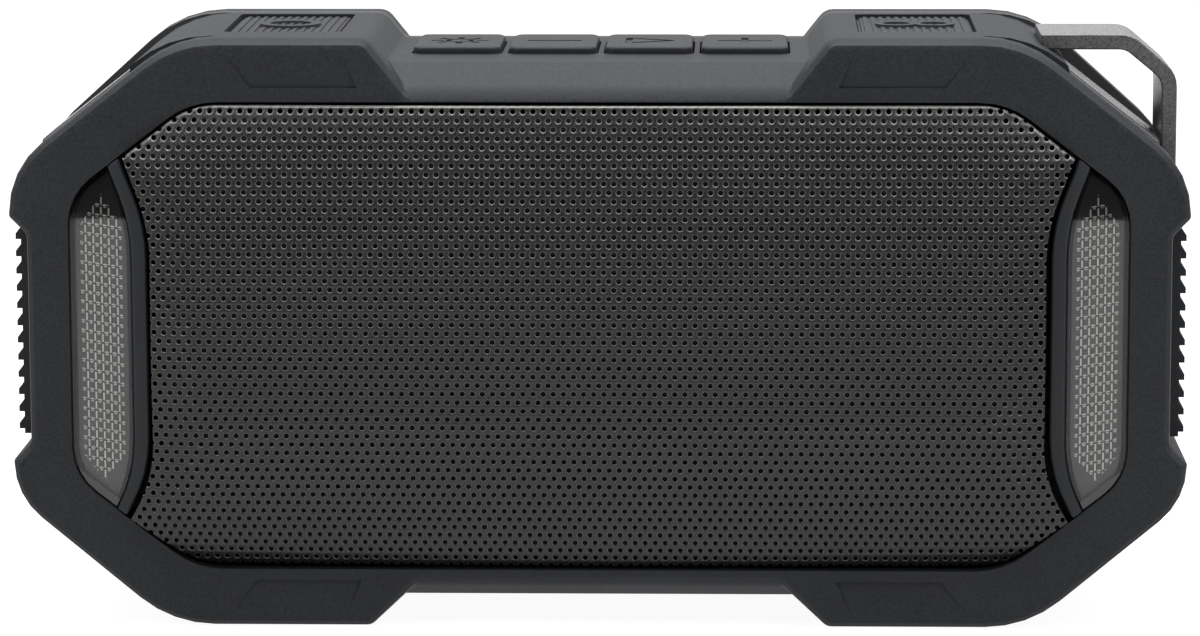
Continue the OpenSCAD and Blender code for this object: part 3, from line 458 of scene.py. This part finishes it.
# The rim attribute marks a painted highlight: inside the holes and on the bead the paint is coloured lighter
# for the light these rims catch
rim_highlight_mark = sheet.data.attributes.new("rim", "FLOAT", "POINT")
for v in sheet.data.vertices:
    rim_highlight_mark.data[v.index].value = float(v.co.y > rim_depth / 2)

# The flat sheet, trimmed to the opening, with two lines cut along the bead
along_row = (hole_pitch, 0, 0)
to_next_row = (hole_pitch / 2, 0, row_step)
two_rows_up = (0, 0, 2 * row_step)
for count, shift in ((columns, along_row), (2, to_next_row), (rows // 2, two_rows_up)):
    apply_modifier(sheet, "ARRAY", count=count, constant_offset_displace=shift, use_constant_offset=True,
                   use_relative_offset=False, use_merge_vertices=True, merge_threshold=field_weld)
points = points_of(sheet)
points[:, 0] += hole_aside - (columns / 2 - 0.25) * hole_pitch
points[:, 2] += dome_z - hole_down - (rows / 2 - 0.5) * row_step
set_points(sheet, points)
trim_to_opening(sheet, 0)
for inset in bead_lines:
    trim_end(sheet, 1, inset, drop=False)
merge_and_turn_out(sheet, edge_weld)

# The dome
points = points_of(sheet)
points[:, 1] += dome_depth(points[:, 0], points[:, 2])
set_points(sheet, points)
# The bead's points take the painted highlight too
on_bead = top_distance(points[:, 0], points[:, 2]) < bead_bright
for index in np.flatnonzero(on_bead):
    sheet.data.attributes["rim"].data[index].value = 1.0

# The skirt: a ring behind the sheet's edge, drawn straight back into the frame
side_z = np.linspace(dome_z - edge_u, dome_z + edge_u, skirt_steps)
side_x = edge_x + edge_lean(side_z)
for turn, reach in bevel_planes():
    side_x = np.minimum(side_x, (reach - np.abs(side_z - dome_z) * math.sin(turn)) / math.cos(turn))
side_x -= skirt_inset
ring_x = np.concatenate([side_x, -side_x[::-1]])
ring_z = np.concatenate([side_z, side_z[::-1]])
ring_y = dome_depth(ring_x, dome_z + (ring_z - dome_z) * skirt_share) + rim_depth
bpy.ops.object.select_all(action="DESELECT")
bpy.ops.mesh.primitive_circle_add(vertices=2 * skirt_steps)
skirt = bpy.context.object
set_points(skirt, np.column_stack([ring_x, ring_y, ring_z]))
open_mesh(skirt)
bpy.ops.mesh.extrude_edges_move()
close_mesh()
points = points_of(skirt)
points[2 * skirt_steps:, 1] = skirt_y
set_points(skirt, points)
pick(sheet)
skirt.select_set(True)
bpy.ops.object.join()
open_mesh(sheet)
bpy.ops.mesh.normals_make_consistent(inside=False)
close_mesh()
bpy.ops.object.shade_smooth_by_angle(angle=math.radians(50))

grille_paint = grained("grille_paint", (0.0125, 0.0121, 0.0115, 1), grain=2200, speckle=1.6, smooth=0.3,
                       rough=0.46, bump=0.25, depth=0.03 * MM, specular_ior_level=0.5, metallic=0.3)
rim_tree = grille_paint.node_tree
rim_colour = rim_tree.nodes["Principled BSDF"].inputs["Base Color"]
# Painted highlight: where the rim attribute is set, the paint's colour is mixed toward a lighter grey
rim_highlight_here = add_node(rim_tree, "ShaderNodeAttribute", attribute_name="rim")
rim_highlight_tone = add_node(rim_tree, "ShaderNodeMix", {"B": (0.088, 0.085, 0.081, 1)}, data_type="RGBA")
link_up(rim_tree, (rim_colour.links[0].from_socket, rim_highlight_tone.inputs["A"]),
        (rim_highlight_here.outputs["Fac"], rim_highlight_tone.inputs["Factor"]), (rim_highlight_tone.outputs["Result"], rim_colour))
fit(sheet, grille_paint, "grille_paint", "case", "grille")

# Dust cloth: the thin black cloth stretched behind the grille, which keeps grit out of the drivers.
# Woven polyester, glued to the back of the sheet, so it follows the dome.
cloth_behind = 1.1 * MM
cloth_inset = 2 * MM
cloth_columns = 84
cloth_rows = 44
profile_steps = 80
bpy.ops.object.select_all(action="DESELECT")
bpy.ops.mesh.primitive_grid_add(x_subdivisions=cloth_columns, y_subdivisions=cloth_rows, size=1,
                                rotation=(math.pi / 2, 0, 0))
cloth = bpy.context.object
cloth.name = "dust_cloth_sheet"
bpy.ops.object.transform_apply(rotation=True)
points = points_of(cloth) * np.array([2 * lens_low.x, 1, 2 * edge_u]) + np.array([0, 0, dome_z])
set_points(cloth, points)
trim_to_opening(cloth, cloth_inset)
points = points_of(cloth)
points[:, 1] = dome_depth(points[:, 0], points[:, 2]) + cloth_behind
set_points(cloth, points)
pick(cloth)
bpy.ops.object.shade_smooth()
cloth_black, cloth_shader = start_material("black_weave", roughness=0.9, sheen_weight=0.15)
cloth_tree = cloth_black.node_tree
cloth_place = add_node(cloth_tree, "ShaderNodeTexCoord")
cloth_turn = add_node(cloth_tree, "ShaderNodeMapping", {"Rotation": (math.pi / 2, 0, 0)})
cloth_weave = add_node(cloth_tree, "ShaderNodeTexBrick", {
    "Color1": (0.004, 0.004, 0.0042, 1), "Color2": (0.0065, 0.0065, 0.007, 1),
    "Mortar": (0.001, 0.001, 0.001, 1), "Scale": 900.0,
    "Mortar Size": 0.03, "Brick Width": 0.5, "Row Height": 0.5})
link_up(cloth_tree, (cloth_place.outputs["Object"], cloth_turn.inputs["Vector"]),
        (cloth_turn.outputs["Vector"], cloth_weave.inputs["Vector"]),
        (cloth_weave.outputs["Color"], cloth_shader.inputs["Base Color"]))
add_bump(cloth_tree, cloth_shader, cloth_weave.outputs["Fac"], 0.4, -0.05 * MM)
fit(cloth, cloth_black, "dust_cloth", "case", "grille_cloth")

# The dome's profile down the cloth's middle, from its lower to its upper edge
profile_z = np.linspace(points[:, 2].min(), points[:, 2].max(), profile_steps)
profile_y = dome_depth(np.zeros_like(profile_z), profile_z)

# Bezels: the curved trims between the light windows and the grille.
# Satin bluish charcoal plastic, clipped between the frame and the grille's folded edge.
bezel_ease = 0.55 * MM
bezel_satin = grained("bezel_satin", (0.015, 0.0172, 0.0205, 1), grain=3200, speckle=0.25, smooth=0.36,
                      rough=0.46, bump=0.12, specular_ior_level=0.25)
for side in ("left", "right"):
    bezel = copy_of("light_bezel_" + side, "bezel_trim_" + side)
    ease_edges(bezel, bezel_ease, segments=3)
    fit(bezel, bezel_satin, "bezel_plastic", "case", "light_bezel_" + side)

# Light windows: smoky lens cups over diffusers pressed with rows of small cells, over the light boards.
# The lens is tinted clear plastic with a glossy facet sloping back at its top, painted dark for shade; the
# cells carry painted reflections, highlights and glow.
# Lens, diffuser and board stack up in the opening, with the lens cup pressed in last.
facet_z = 70.3 * MM
facet_slope = 0.3
facet_blur = 0.2 * MM
plate_back_y = -19.6 * MM
lens_ease = 0.2 * MM
lens_sharp = 20
wedge_x = 81.7 * MM
wedge_z = 21.9 * MM
wedge_slope = 0.78
wedge_shade_strength = 0.96
wedge_alpha = 0.9
window_mid_x = (lens_low.x + lens_high.x) / 2
window_mid_z = (cad_box[0][2] + cad_box[1][2]) / 2

# The field of cells comes to a point at both ends
cell_x = 1.32 * MM
cell_z = 1.68 * MM
cell_lean = math.tan(math.radians(8))
cells_half = 2.7 * cell_x
cells_low = 25.1 * MM
cells_high = 74.4 * MM
cells_low_point = 4.5 * MM
cells_high_point = 5.2 * MM

# In shares of a cell: half the width of the painted reflection bars, their gap at a row line, and the painted
# highlight patches beside the line
bar_half = 0.11
bar_gap = 0.11
row_half = 0.035
patch_over_tall = 0.22
patch_over_wide = 0.38
patch_under_tall = 0.16
patch_under_wide = 0.26


def slope_top(piece):
    """Slope the upper end of a window piece back from a straight crease."""
    open_mesh(piece)
    bpy.ops.mesh.bisect(plane_co=(0, 0, facet_z), plane_no=(0, 0, 1))
    close_mesh()
    for v in piece.data.vertices:
        if v.co.z > facet_z and v.co.y < plate_back_y:
            v.co.y += facet_slope * (v.co.z - facet_z)


smoke, smoke_shader = start_material("smoke_lens", roughness=0.16, specular_ior_level=0.6, ior=1.49,
                                     coat_weight=0.5, coat_roughness=0.05)
smoke_tree = smoke.node_tree
smoke_place = add_node(smoke_tree, "ShaderNodeTexCoord")
smoke_haze = add_node(smoke_tree, "ShaderNodeTexNoise", {"Scale": 160.0, "Detail": 3.0})
smoke_tint = add_node(smoke_tree, "ShaderNodeValToRGB")
smoke_tint.color_ramp.elements[0].color = (0.135, 0.133, 0.136, 1)
smoke_tint.color_ramp.elements[1].color = (0.16, 0.158, 0.16, 1)
smoke_apart = add_node(smoke_tree, "ShaderNodeSeparateXYZ")
# Painted shade: above the crease the lens colour is darkened nearly to black and made denser, for the shade
# under the frame's lip
facet_span = {"From Min": facet_z - facet_blur, "From Max": facet_z + facet_blur}
smoke_dense = add_node(smoke_tree, "ShaderNodeMapRange", {**facet_span, "To Min": 0.25, "To Max": 0.34})
facet_shade = add_node(smoke_tree, "ShaderNodeMapRange", {**facet_span, "To Min": 1.0, "To Max": 0.02})

# Painted shade: the lower outer edge of the window is painted into a dark wedge for the shade on the
# opening's side wall, under a line that leans like the bevel
smoke_out = reckon(smoke_tree, "ABSOLUTE", smoke_apart.outputs["X"])
smoke_over = reckon(smoke_tree, "MULTIPLY_ADD", smoke_out, -wedge_slope, smoke_apart.outputs["Z"])
shade_wedge = reckon(smoke_tree, "LESS_THAN", smoke_over, wedge_z - wedge_slope * wedge_x)
smoke_unshaded = reckon(smoke_tree, "SUBTRACT", 1, reckon(smoke_tree, "MULTIPLY", shade_wedge, wedge_shade_strength))
smoke_shading = reckon(smoke_tree, "MULTIPLY", facet_shade.outputs[0], smoke_unshaded)
shade_wedge_cover = reckon(smoke_tree, "MULTIPLY", shade_wedge, wedge_alpha)
smoke_alpha = reckon(smoke_tree, "MAXIMUM", smoke_dense.outputs[0], shade_wedge_cover)
smoke_mix = add_node(smoke_tree, "ShaderNodeVectorMath", operation="SCALE")
link_up(
    smoke_tree,
    (smoke_place.outputs["Object"], smoke_haze.inputs["Vector"]),
    (smoke_place.outputs["Object"], smoke_apart.inputs[0]),
    (smoke_haze.outputs["Fac"], smoke_tint.inputs["Fac"]),
    (smoke_apart.outputs["Z"], smoke_dense.inputs["Value"]),
    (smoke_apart.outputs["Z"], facet_shade.inputs["Value"]),
    (smoke_tint.outputs["Color"], smoke_mix.inputs[0]),
    (smoke_shading, smoke_mix.inputs["Scale"]),
    (smoke_mix.outputs[0], smoke_shader.inputs["Base Color"]),
    (smoke_alpha, smoke_shader.inputs["Alpha"]),
)

# Painted glow: the cells' colour also feeds their emission, so the painted light marks glow a little
cells, cells_shader = start_material("diffuser_cells", roughness=0.4, emission_strength=0.09)
cells_tree = cells.node_tree
cells_place = add_node(cells_tree, "ShaderNodeTexCoord")
cells_apart = add_node(cells_tree, "ShaderNodeSeparateXYZ")
cells_tree.links.new(cells_place.outputs["Object"], cells_apart.inputs[0])
cells_height = cells_apart.outputs["Z"]


def reckon_cell(operation, *values):
    """A math node in the cells' material, and its result."""
    return reckon(cells_tree, operation, *values)


def highlight_patch(over, tall, wide):
    """Where a painted highlight, a light half oval, lies on one side of a row line."""
    share = reckon_cell("POWER", reckon_cell("DIVIDE", middle_away, wide), 2)
    limit = reckon_cell("MULTIPLY_ADD", share, -tall, tall)
    inside = reckon_cell("LESS_THAN", over, limit)
    return reckon_cell("MULTIPLY", inside, reckon_cell("GREATER_THAN", over, row_half))


# How far a point is from the nearest bar and row line, in shares of a cell
cells_across = reckon_cell("SUBTRACT", reckon_cell("ABSOLUTE", cells_apart.outputs["X"]), window_mid_x)
cells_up = reckon_cell("SUBTRACT", cells_height, window_mid_z)
cells_row = reckon_cell("MULTIPLY_ADD", cells_across, -cell_lean, cells_up)
bar_away = reckon_cell("PINGPONG", reckon_cell("DIVIDE", cells_across, cell_x), 0.5)
middle_away = reckon_cell("SUBTRACT", 0.5, bar_away)
row_share = reckon_cell("FRACT", reckon_cell("MULTIPLY_ADD", cells_row, 1 / cell_z, 0.5))
row_over = reckon_cell("SUBTRACT", row_share, 0.5)
row_away = reckon_cell("ABSOLUTE", row_over)

# Painted light: the bars are painted light for the reflections along the grooves and the patches for the
# highlights on the cells' facets, inside the field only
bar_near = reckon_cell("LESS_THAN", bar_away, bar_half)
bar_here = reckon_cell("MULTIPLY", bar_near, reckon_cell("GREATER_THAN", row_away, bar_gap))
over_highlight = highlight_patch(row_over, patch_over_tall, patch_over_wide)
under_highlight = highlight_patch(reckon_cell("MULTIPLY", row_over, -1), patch_under_tall, patch_under_wide)
painted_light_here = reckon_cell("MAXIMUM", bar_here, reckon_cell("MAXIMUM", over_highlight, under_highlight))
side_share = reckon_cell("DIVIDE", reckon_cell("ABSOLUTE", cells_across), cells_half)
low_limit = reckon_cell("MULTIPLY_ADD", side_share, cells_low_point, cells_low)
high_limit = reckon_cell("MULTIPLY_ADD", side_share, -cells_high_point, cells_high)
field = reckon_cell("MULTIPLY", reckon_cell("GREATER_THAN", cells_height, low_limit),
                    reckon_cell("LESS_THAN", cells_height, high_limit))
field = reckon_cell("MULTIPLY", field, reckon_cell("LESS_THAN", side_share, 1))
cells_painted_tone = add_node(cells_tree, "ShaderNodeMix", {
    "A": (0.02, 0.0187, 0.0175, 1), "B": (0.9, 0.865, 0.81, 1)}, data_type="RGBA")
link_up(cells_tree, (reckon_cell("MULTIPLY", painted_light_here, field), cells_painted_tone.inputs["Factor"]),
        (cells_painted_tone.outputs["Result"], cells_shader.inputs["Base Color"]),
        (cells_painted_tone.outputs["Result"], cells_shader.inputs["Emission Color"]))
for side in ("left", "right"):
    diffuser = copy_of("light_diffuser_" + side, "cell_sheet_" + side)
    slope_top(diffuser)
    bpy.ops.object.shade_smooth_by_angle(angle=math.radians(15))
    fit(diffuser, cells, "diffuser_sheet", "case", "light_diffuser_" + side)
    lens = copy_of("light_lens_" + side, "lens_cup_" + side)
    slope_top(lens)
    ease_edges(lens, lens_ease, sharp=lens_sharp)
    fit(lens, smoke, "smoke_lens", "case", "light_lens_" + side)

# Strip keys: four soft keys along the top, for the lights, quieter, play and louder.
# Charcoal rubber caps with engraved signs, each on a stem over its switch.
# They slide down through holes in the strip.
key_low, key_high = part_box("light_button")
key_top = key_high.z
key_y = (key_low.y + key_high.y) / 2
key_ease = 0.12 * MM
key_sharp = 40
sign_floor = key_top - 0.35 * MM
sign_clear = key_top + 1 * MM
stroke = 1.2 * MM
ring_corners = 48
sun_outer = 2.5 * MM
sun_inner = 1.6 * MM
key_rubber = grained("key_rubber", (0.0165, 0.0172, 0.019, 1), grain=rubber_grain, speckle=0.8, smooth=0.5,
                     rough=0.68, specular_ior_level=0.2)


def middle_x(node):
    """Middle of a solid from left to right."""
    low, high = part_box(node)
    return (low.x + high.x) / 2


def bar_block(x, y, length, width, turn, low, high):
    """A straight bar lying on top of a key, turned about the upright axis."""
    bpy.ops.object.select_all(action="DESELECT")
    bpy.ops.mesh.primitive_cube_add(size=1, location=(x, y, (low + high) / 2), rotation=(0, 0, turn),
                                    scale=(length, width, high - low))
    return bpy.context.object


def ring_block(x, y, outer, inner, low, high):
    """A flat ring lying on top of a key."""
    bpy.ops.object.select_all(action="DESELECT")
    bpy.ops.mesh.primitive_circle_add(vertices=ring_corners, radius=outer, location=(x, y, low))
    ring = bpy.context.object
    open_mesh(ring)
    bpy.ops.mesh.extrude_edges_move()
    bpy.ops.transform.resize(value=(inner / outer, inner / outer, 1), center_override=(x, y, low))
    bpy.ops.mesh.select_all(action="SELECT")
    bpy.ops.mesh.extrude_region_move(TRANSFORM_OT_translate={"value": (0, 0, high - low)})
    bpy.ops.mesh.select_all(action="SELECT")
    bpy.ops.mesh.normals_make_consistent(inside=False)
    close_mesh()
    return ring


def combine(piece, blocks, operation):
    """Cut blocks out of a piece, or join them to it, and remove them."""
    for block in blocks:
        pick(block)
        bpy.ops.object.transform_apply(location=True, rotation=True, scale=True)
        apply_modifier(piece, "BOOLEAN", operation=operation, object=block, solver="EXACT")
        bpy.data.objects.remove(block)


def sign_bars(x, bars):
    """Cutters for a sign's bars, each by its middle and length in millimetres and its turn in degrees."""
    return [bar_block(x + bx * MM, key_y + by * MM, length * MM, stroke, math.radians(turn),
                      sign_floor, sign_clear) for bx, by, length, turn in bars]


def sun_ray(turn, reach=3.9, length=2.2):
    """One ray of the sun sign, as a bar that points away from its middle."""
    return (reach * math.cos(math.radians(turn)), reach * math.sin(math.radians(turn)), length, turn)


key_signs = {
    "light": ("light_button", "light_key", [sun_ray(turn) for turn in range(0, 360, 45)]),
    "down": ("volume_down_button", "volume_down_key", [(0, 0, 9.4, 0)]),
    "play": ("play_button", "play_key", [(-3.6, 0, 8.6, 90), (0, 2.05, 9.0, -27), (0, -2.05, 9.0, 27)]),
    "up": ("volume_up_button", "volume_up_key", [(0, 0, 9.4, 0), (0, 0, 9.4, 90)]),
}
for sign, (node, body, bars) in key_signs.items():
    key = copy_of(node, "key_cap_" + sign)
    x = middle_x(node)
    blocks = sign_bars(x, bars)
    if sign == "light":
        blocks.append(ring_block(x, key_y, sun_outer, sun_inner, sign_floor, sign_clear))
    combine(key, blocks, "DIFFERENCE")
    ease_edges(key, key_ease, sharp=key_sharp)
    fit(key, key_rubber, "key_rubber", body, node)

# Pad keys: the two ribbed keys in the top pads, for power and for linking a second speaker.
# Charcoal rubber with ribs from front to back and a raised ring or pair of rings.
# They slide in recesses in the pads.
pad_low, pad_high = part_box("power_key")
pad_y = (pad_low.y + pad_high.y) / 2
pad_margin_x = 1 * MM
pad_margin_y = 5 * MM
pad_wide = pad_high.x - pad_low.x - pad_margin_x
pad_deep = pad_high.y - pad_low.y - pad_margin_y
pad_lift = 0.35 * MM
pad_ease = 0.1 * MM
ring_top = pad_high.z + 0.7 * MM
ring_low = pad_high.z - 0.6 * MM
rib_floor = pad_high.z + pad_lift - 0.2 * MM

# Each ring as its place from left to right, its outer radius and its inner radius, in millimetres
pad_signs = {
    "power": ("power_key", "power_body", [(0, 5.3, 3.6)]),
    "link": ("link_key", "link_body", [(-3.2, 3.7, 2.3), (3.2, 3.7, 2.3)]),
}
for sign, (node, body, rings) in pad_signs.items():
    key = copy_of(node, "pad_cap_" + sign)
    x = middle_x(node)
    for v in key.data.vertices:
        if v.co.z > ring_low:
            v.co.z += pad_lift
    blocks = [bar_block(x, pad_y, pad_wide, pad_deep, 0, ring_low, rib_floor)]
    for rx, outer, inner in rings:
        blocks.append(ring_block(x + rx * MM, pad_y, outer * MM, inner * MM, ring_low, ring_top))
    combine(key, blocks, "UNION")
    ease_edges(key, pad_ease, sharp=key_sharp)
    fit(key, key_rubber, "key_rubber", body, node)

# Carry loop: the metal strap over the upper right corner.
# Bent flat bar with gunmetal sparkle paint, its two ends trapped in pockets of the case.
loop_ease = 0.4 * MM
loop_paint, loop_shader = start_material("gunmetal_sparkle", metallic=0.65, coat_weight=0.25,
                                         coat_roughness=0.2)
loop_tree = loop_paint.node_tree
loop_place = add_node(loop_tree, "ShaderNodeTexCoord")
loop_flakes = add_node(loop_tree, "ShaderNodeTexVoronoi", {"Scale": 5200.0})
loop_spread = add_node(loop_tree, "ShaderNodeSeparateColor")
loop_tone = add_node(loop_tree, "ShaderNodeValToRGB")
loop_tone.color_ramp.elements[0].color = (0.04, 0.039, 0.041, 1)
loop_tone.color_ramp.elements[1].color = (0.12, 0.117, 0.121, 1)
loop_rough = add_node(loop_tree, "ShaderNodeMapRange", {"To Min": 0.28, "To Max": 0.52})
link_up(
    loop_tree,
    (loop_place.outputs["Object"], loop_flakes.inputs["Vector"]),
    (loop_flakes.outputs["Color"], loop_spread.inputs[0]),
    (loop_spread.outputs[0], loop_tone.inputs["Fac"]),
    (loop_tone.outputs["Color"], loop_shader.inputs["Base Color"]),
    (loop_spread.outputs[1], loop_rough.inputs["Value"]),
    (loop_rough.outputs[0], loop_shader.inputs["Roughness"]),
)
add_bump(loop_tree, loop_shader, loop_spread.outputs[2], 0.12, 0.03 * MM)
loop = copy_of("carry_loop", "carry_strap")
ease_edges(loop, loop_ease, segments=3)
fit(loop, loop_paint, "loop_paint", "case", "carry_loop")

# Back: the flat panel inside the rear bumper, its six screws and the rubber flap over the charging port.
# Textured plastic panel, dark zinc screws with cross recesses, soft black rubber flap on a pin.
# The screws hold the back to the case, and the flap swings up on its pin.
panel_ease = 0.25 * MM
panel_sharp = 38
flap_ease = 0.25 * MM
flap_sharp = 40
screw_low, screw_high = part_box("rear_screws")
screw_ease = 0.08 * MM
screw_sharp = 40
head_radius = 2.8 * MM
outer_x = screw_high.x - head_radius
outer_z = (25.3 * MM, screw_high.z - head_radius)
inner_x = 24 * MM
inner_z = screw_low.z + head_radius
cross_size = (3.2 * MM, 1.6 * MM, 0.7 * MM)
cross_turn = 0.4
panel_plastic = grained("panel_texture", (0.0155, 0.0162, 0.0178, 1), grain=1500, speckle=0.5, smooth=0.5,
                        rough=0.68, bump=0.5, depth=0.08 * MM)
seal_black = grained("seal_rubber", (0.008, 0.008, 0.0085, 1), grain=4200, speckle=0.5, smooth=0.55,
                     rough=0.75)
zinc = grained("dark_zinc", (0.1, 0.1, 0.105, 1), grain=2400, speckle=0.4, smooth=0.26, rough=0.4,
               bump=0.1, metallic=0.9)
panel = copy_of("rear_cover", "back_panel")
ease_edges(panel, panel_ease, sharp=panel_sharp)
fit(panel, panel_plastic, "case_plastic", "case", "rear_cover")
screws = copy_of("rear_screws", "back_screws")
screw_spots = [(side * outer_x, z) for side in (-1, 1) for z in outer_z]
screw_spots += [(side * inner_x, inner_z) for side in (-1, 1)]
for x, z in screw_spots:
    for turn in (cross_turn, cross_turn + math.pi / 2):
        bpy.ops.object.select_all(action="DESELECT")
        bpy.ops.mesh.primitive_cube_add(size=1, location=(x, screw_high.y, z), rotation=(0, turn, 0),
                                        scale=cross_size)
        combine(screws, [bpy.context.object], "DIFFERENCE")
ease_edges(screws, screw_ease, sharp=screw_sharp)
fit(screws, zinc, "screw_steel", "case", "rear_screws")
flap = copy_of("port_flap", "port_cover")
ease_edges(flap, flap_ease, sharp=flap_sharp)
fit(flap, seal_black, "seal_rubber", "flap", "port_flap")

# Inside: boards, switches, drivers, battery and fasteners, which keep their solids.
# Pressed fibre cones, plated steel, green boards and wrapped cells, seen only through the grille or the port.
# Each keeps the place its solid has.
circuit = grained("solder_mask", (0.012, 0.07, 0.028, 1), grain=700, speckle=0.4, smooth=0.25, rough=0.4,
                  bump=0.15)
plated = grained("plated_steel", (0.55, 0.55, 0.56, 1), grain=1800, speckle=0.3, smooth=0.2, rough=0.36,
                 bump=0.1, metallic=1.0)
driver_black = grained("driver_black", (0.03, 0.03, 0.031, 1), grain=2200, speckle=0.4, smooth=0.4, rough=0.6)
magnet_zinc = grained("magnet_zinc", (0.2, 0.2, 0.21, 1), grain=900, speckle=0.5, smooth=0.35, rough=0.55,
                      metallic=0.8)
cone_fibre = grained("cone_fibre", (0.018, 0.018, 0.019, 1), grain=1400, speckle=0.9, smooth=0.7, rough=0.9,
                     bump=0.6)
cell_wrap = grained("cell_wrap", (0.03, 0.08, 0.22, 1), grain=300, speckle=0.2, smooth=0.18, rough=0.3)
plain_moulding = grained("plain_moulding", (0.025, 0.025, 0.026, 1), grain=1200, speckle=0.3, smooth=0.45,
                         rough=0.6)
finishes = {
    "housing_gasket": seal_black, "key_board": circuit, "tact_switches": plated, "driver_screws": zinc,
    "board_screws": zinc, "battery_cells": cell_wrap, "battery_holder": plain_moulding,
    "main_board": circuit, "usb_socket": plated,
}
for side in ("left", "right"):
    finishes["light_board_" + side] = circuit
    finishes["driver_frame_" + side] = driver_black
    finishes["driver_magnet_" + side] = magnet_zinc
    finishes["driver_surround_" + side] = seal_black
    finishes["driver_cone_" + side] = cone_fibre
for node, finish in finishes.items():
    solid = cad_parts[node]
    solid.data.materials.clear()
    solid.data.materials.append(finish)

# Stage: a plain white floor, with soft boxes overhead, behind and on both sides, as for a product picture.
# The floor shines a little of its own so that it stays white, and the world adds a dim fill.
floor_width = 12
bpy.ops.object.select_all(action="DESELECT")
bpy.ops.mesh.primitive_plane_add(size=floor_width)
floor = bpy.context.object
floor.name = "white_floor"
floor_white = start_material("white_floor", base_color=(0.15, 0.15, 0.15, 1), roughness=0.9,
                             specular_ior_level=0.1, emission_color=(1, 1, 1, 1), emission_strength=0.94)[0]
floor.data.materials.append(floor_white)


def softbox(name, place, aim, size, power):
    """An oblong area light that looks at a point."""
    lamp = bpy.data.lights.new(name, "AREA")
    lamp.shape = "RECTANGLE"
    lamp.size = size[0]
    lamp.size_y = size[1]
    lamp.energy = power
    box = bpy.data.objects.new(name, lamp)
    box.location = place
    box.rotation_euler = (Vector(aim) - Vector(place)).to_track_quat("-Z", "Y").to_euler()
    bpy.context.scene.collection.objects.link(box)


softbox("top_box", place=(0, 0, 1.0), aim=(0, 0.02, 0.05), size=(1.4, 0.7), power=34)
softbox("back_box", place=(0, 1.7, 0.6), aim=(0, 0, 0.1), size=(3.0, 0.9), power=9)
for name, side in (("left_box", -1), ("right_box", 1)):
    softbox(name, place=(side * 0.75, -0.45, 0.75), aim=(0, 0, 0.05), size=(0.5, 0.5), power=4)
studio = bpy.data.worlds.new("studio")
studio.use_nodes = True
fill = studio.node_tree.nodes["Background"]
fill.inputs["Color"].default_value = (0.92, 0.96, 1.0, 1)
fill.inputs["Strength"].default_value = 0.18
bpy.context.scene.world = studio
bpy.context.scene.view_settings.view_transform = "Standard"

# Camera: it stands a little to the right of the middle and above it, far back with a long lens.
# Its shift is in pixels of the picture, whose width is given too.
camera_turn = math.radians(1.75)
camera_tilt = math.radians(9.2)
camera_roll = math.radians(-0.15)
camera_distance = 0.85
camera_target = Vector((0, 0, 0.05))
sensor_width = 36
focal_length = 146.37
picture_width = 1200
shift_across = -2.16
shift_up = -1.0
level = math.cos(camera_tilt)
view_from = Vector((math.sin(camera_turn) * level, -math.cos(camera_turn) * level, math.sin(camera_tilt)))
camera_lens = bpy.data.cameras.new("camera")
camera_lens.sensor_width = sensor_width
camera_lens.lens = focal_length
camera_lens.shift_x = shift_across / picture_width
camera_lens.shift_y = shift_up / picture_width
camera = bpy.data.objects.new("camera", camera_lens)
camera.location = camera_target + camera_distance * view_from
camera.rotation_euler = (-view_from).to_track_quat("-Z", "Y").to_euler()
camera.rotation_euler.rotate_axis("Z", camera_roll)
bpy.context.scene.collection.objects.link(camera)
bpy.context.scene.camera = camera
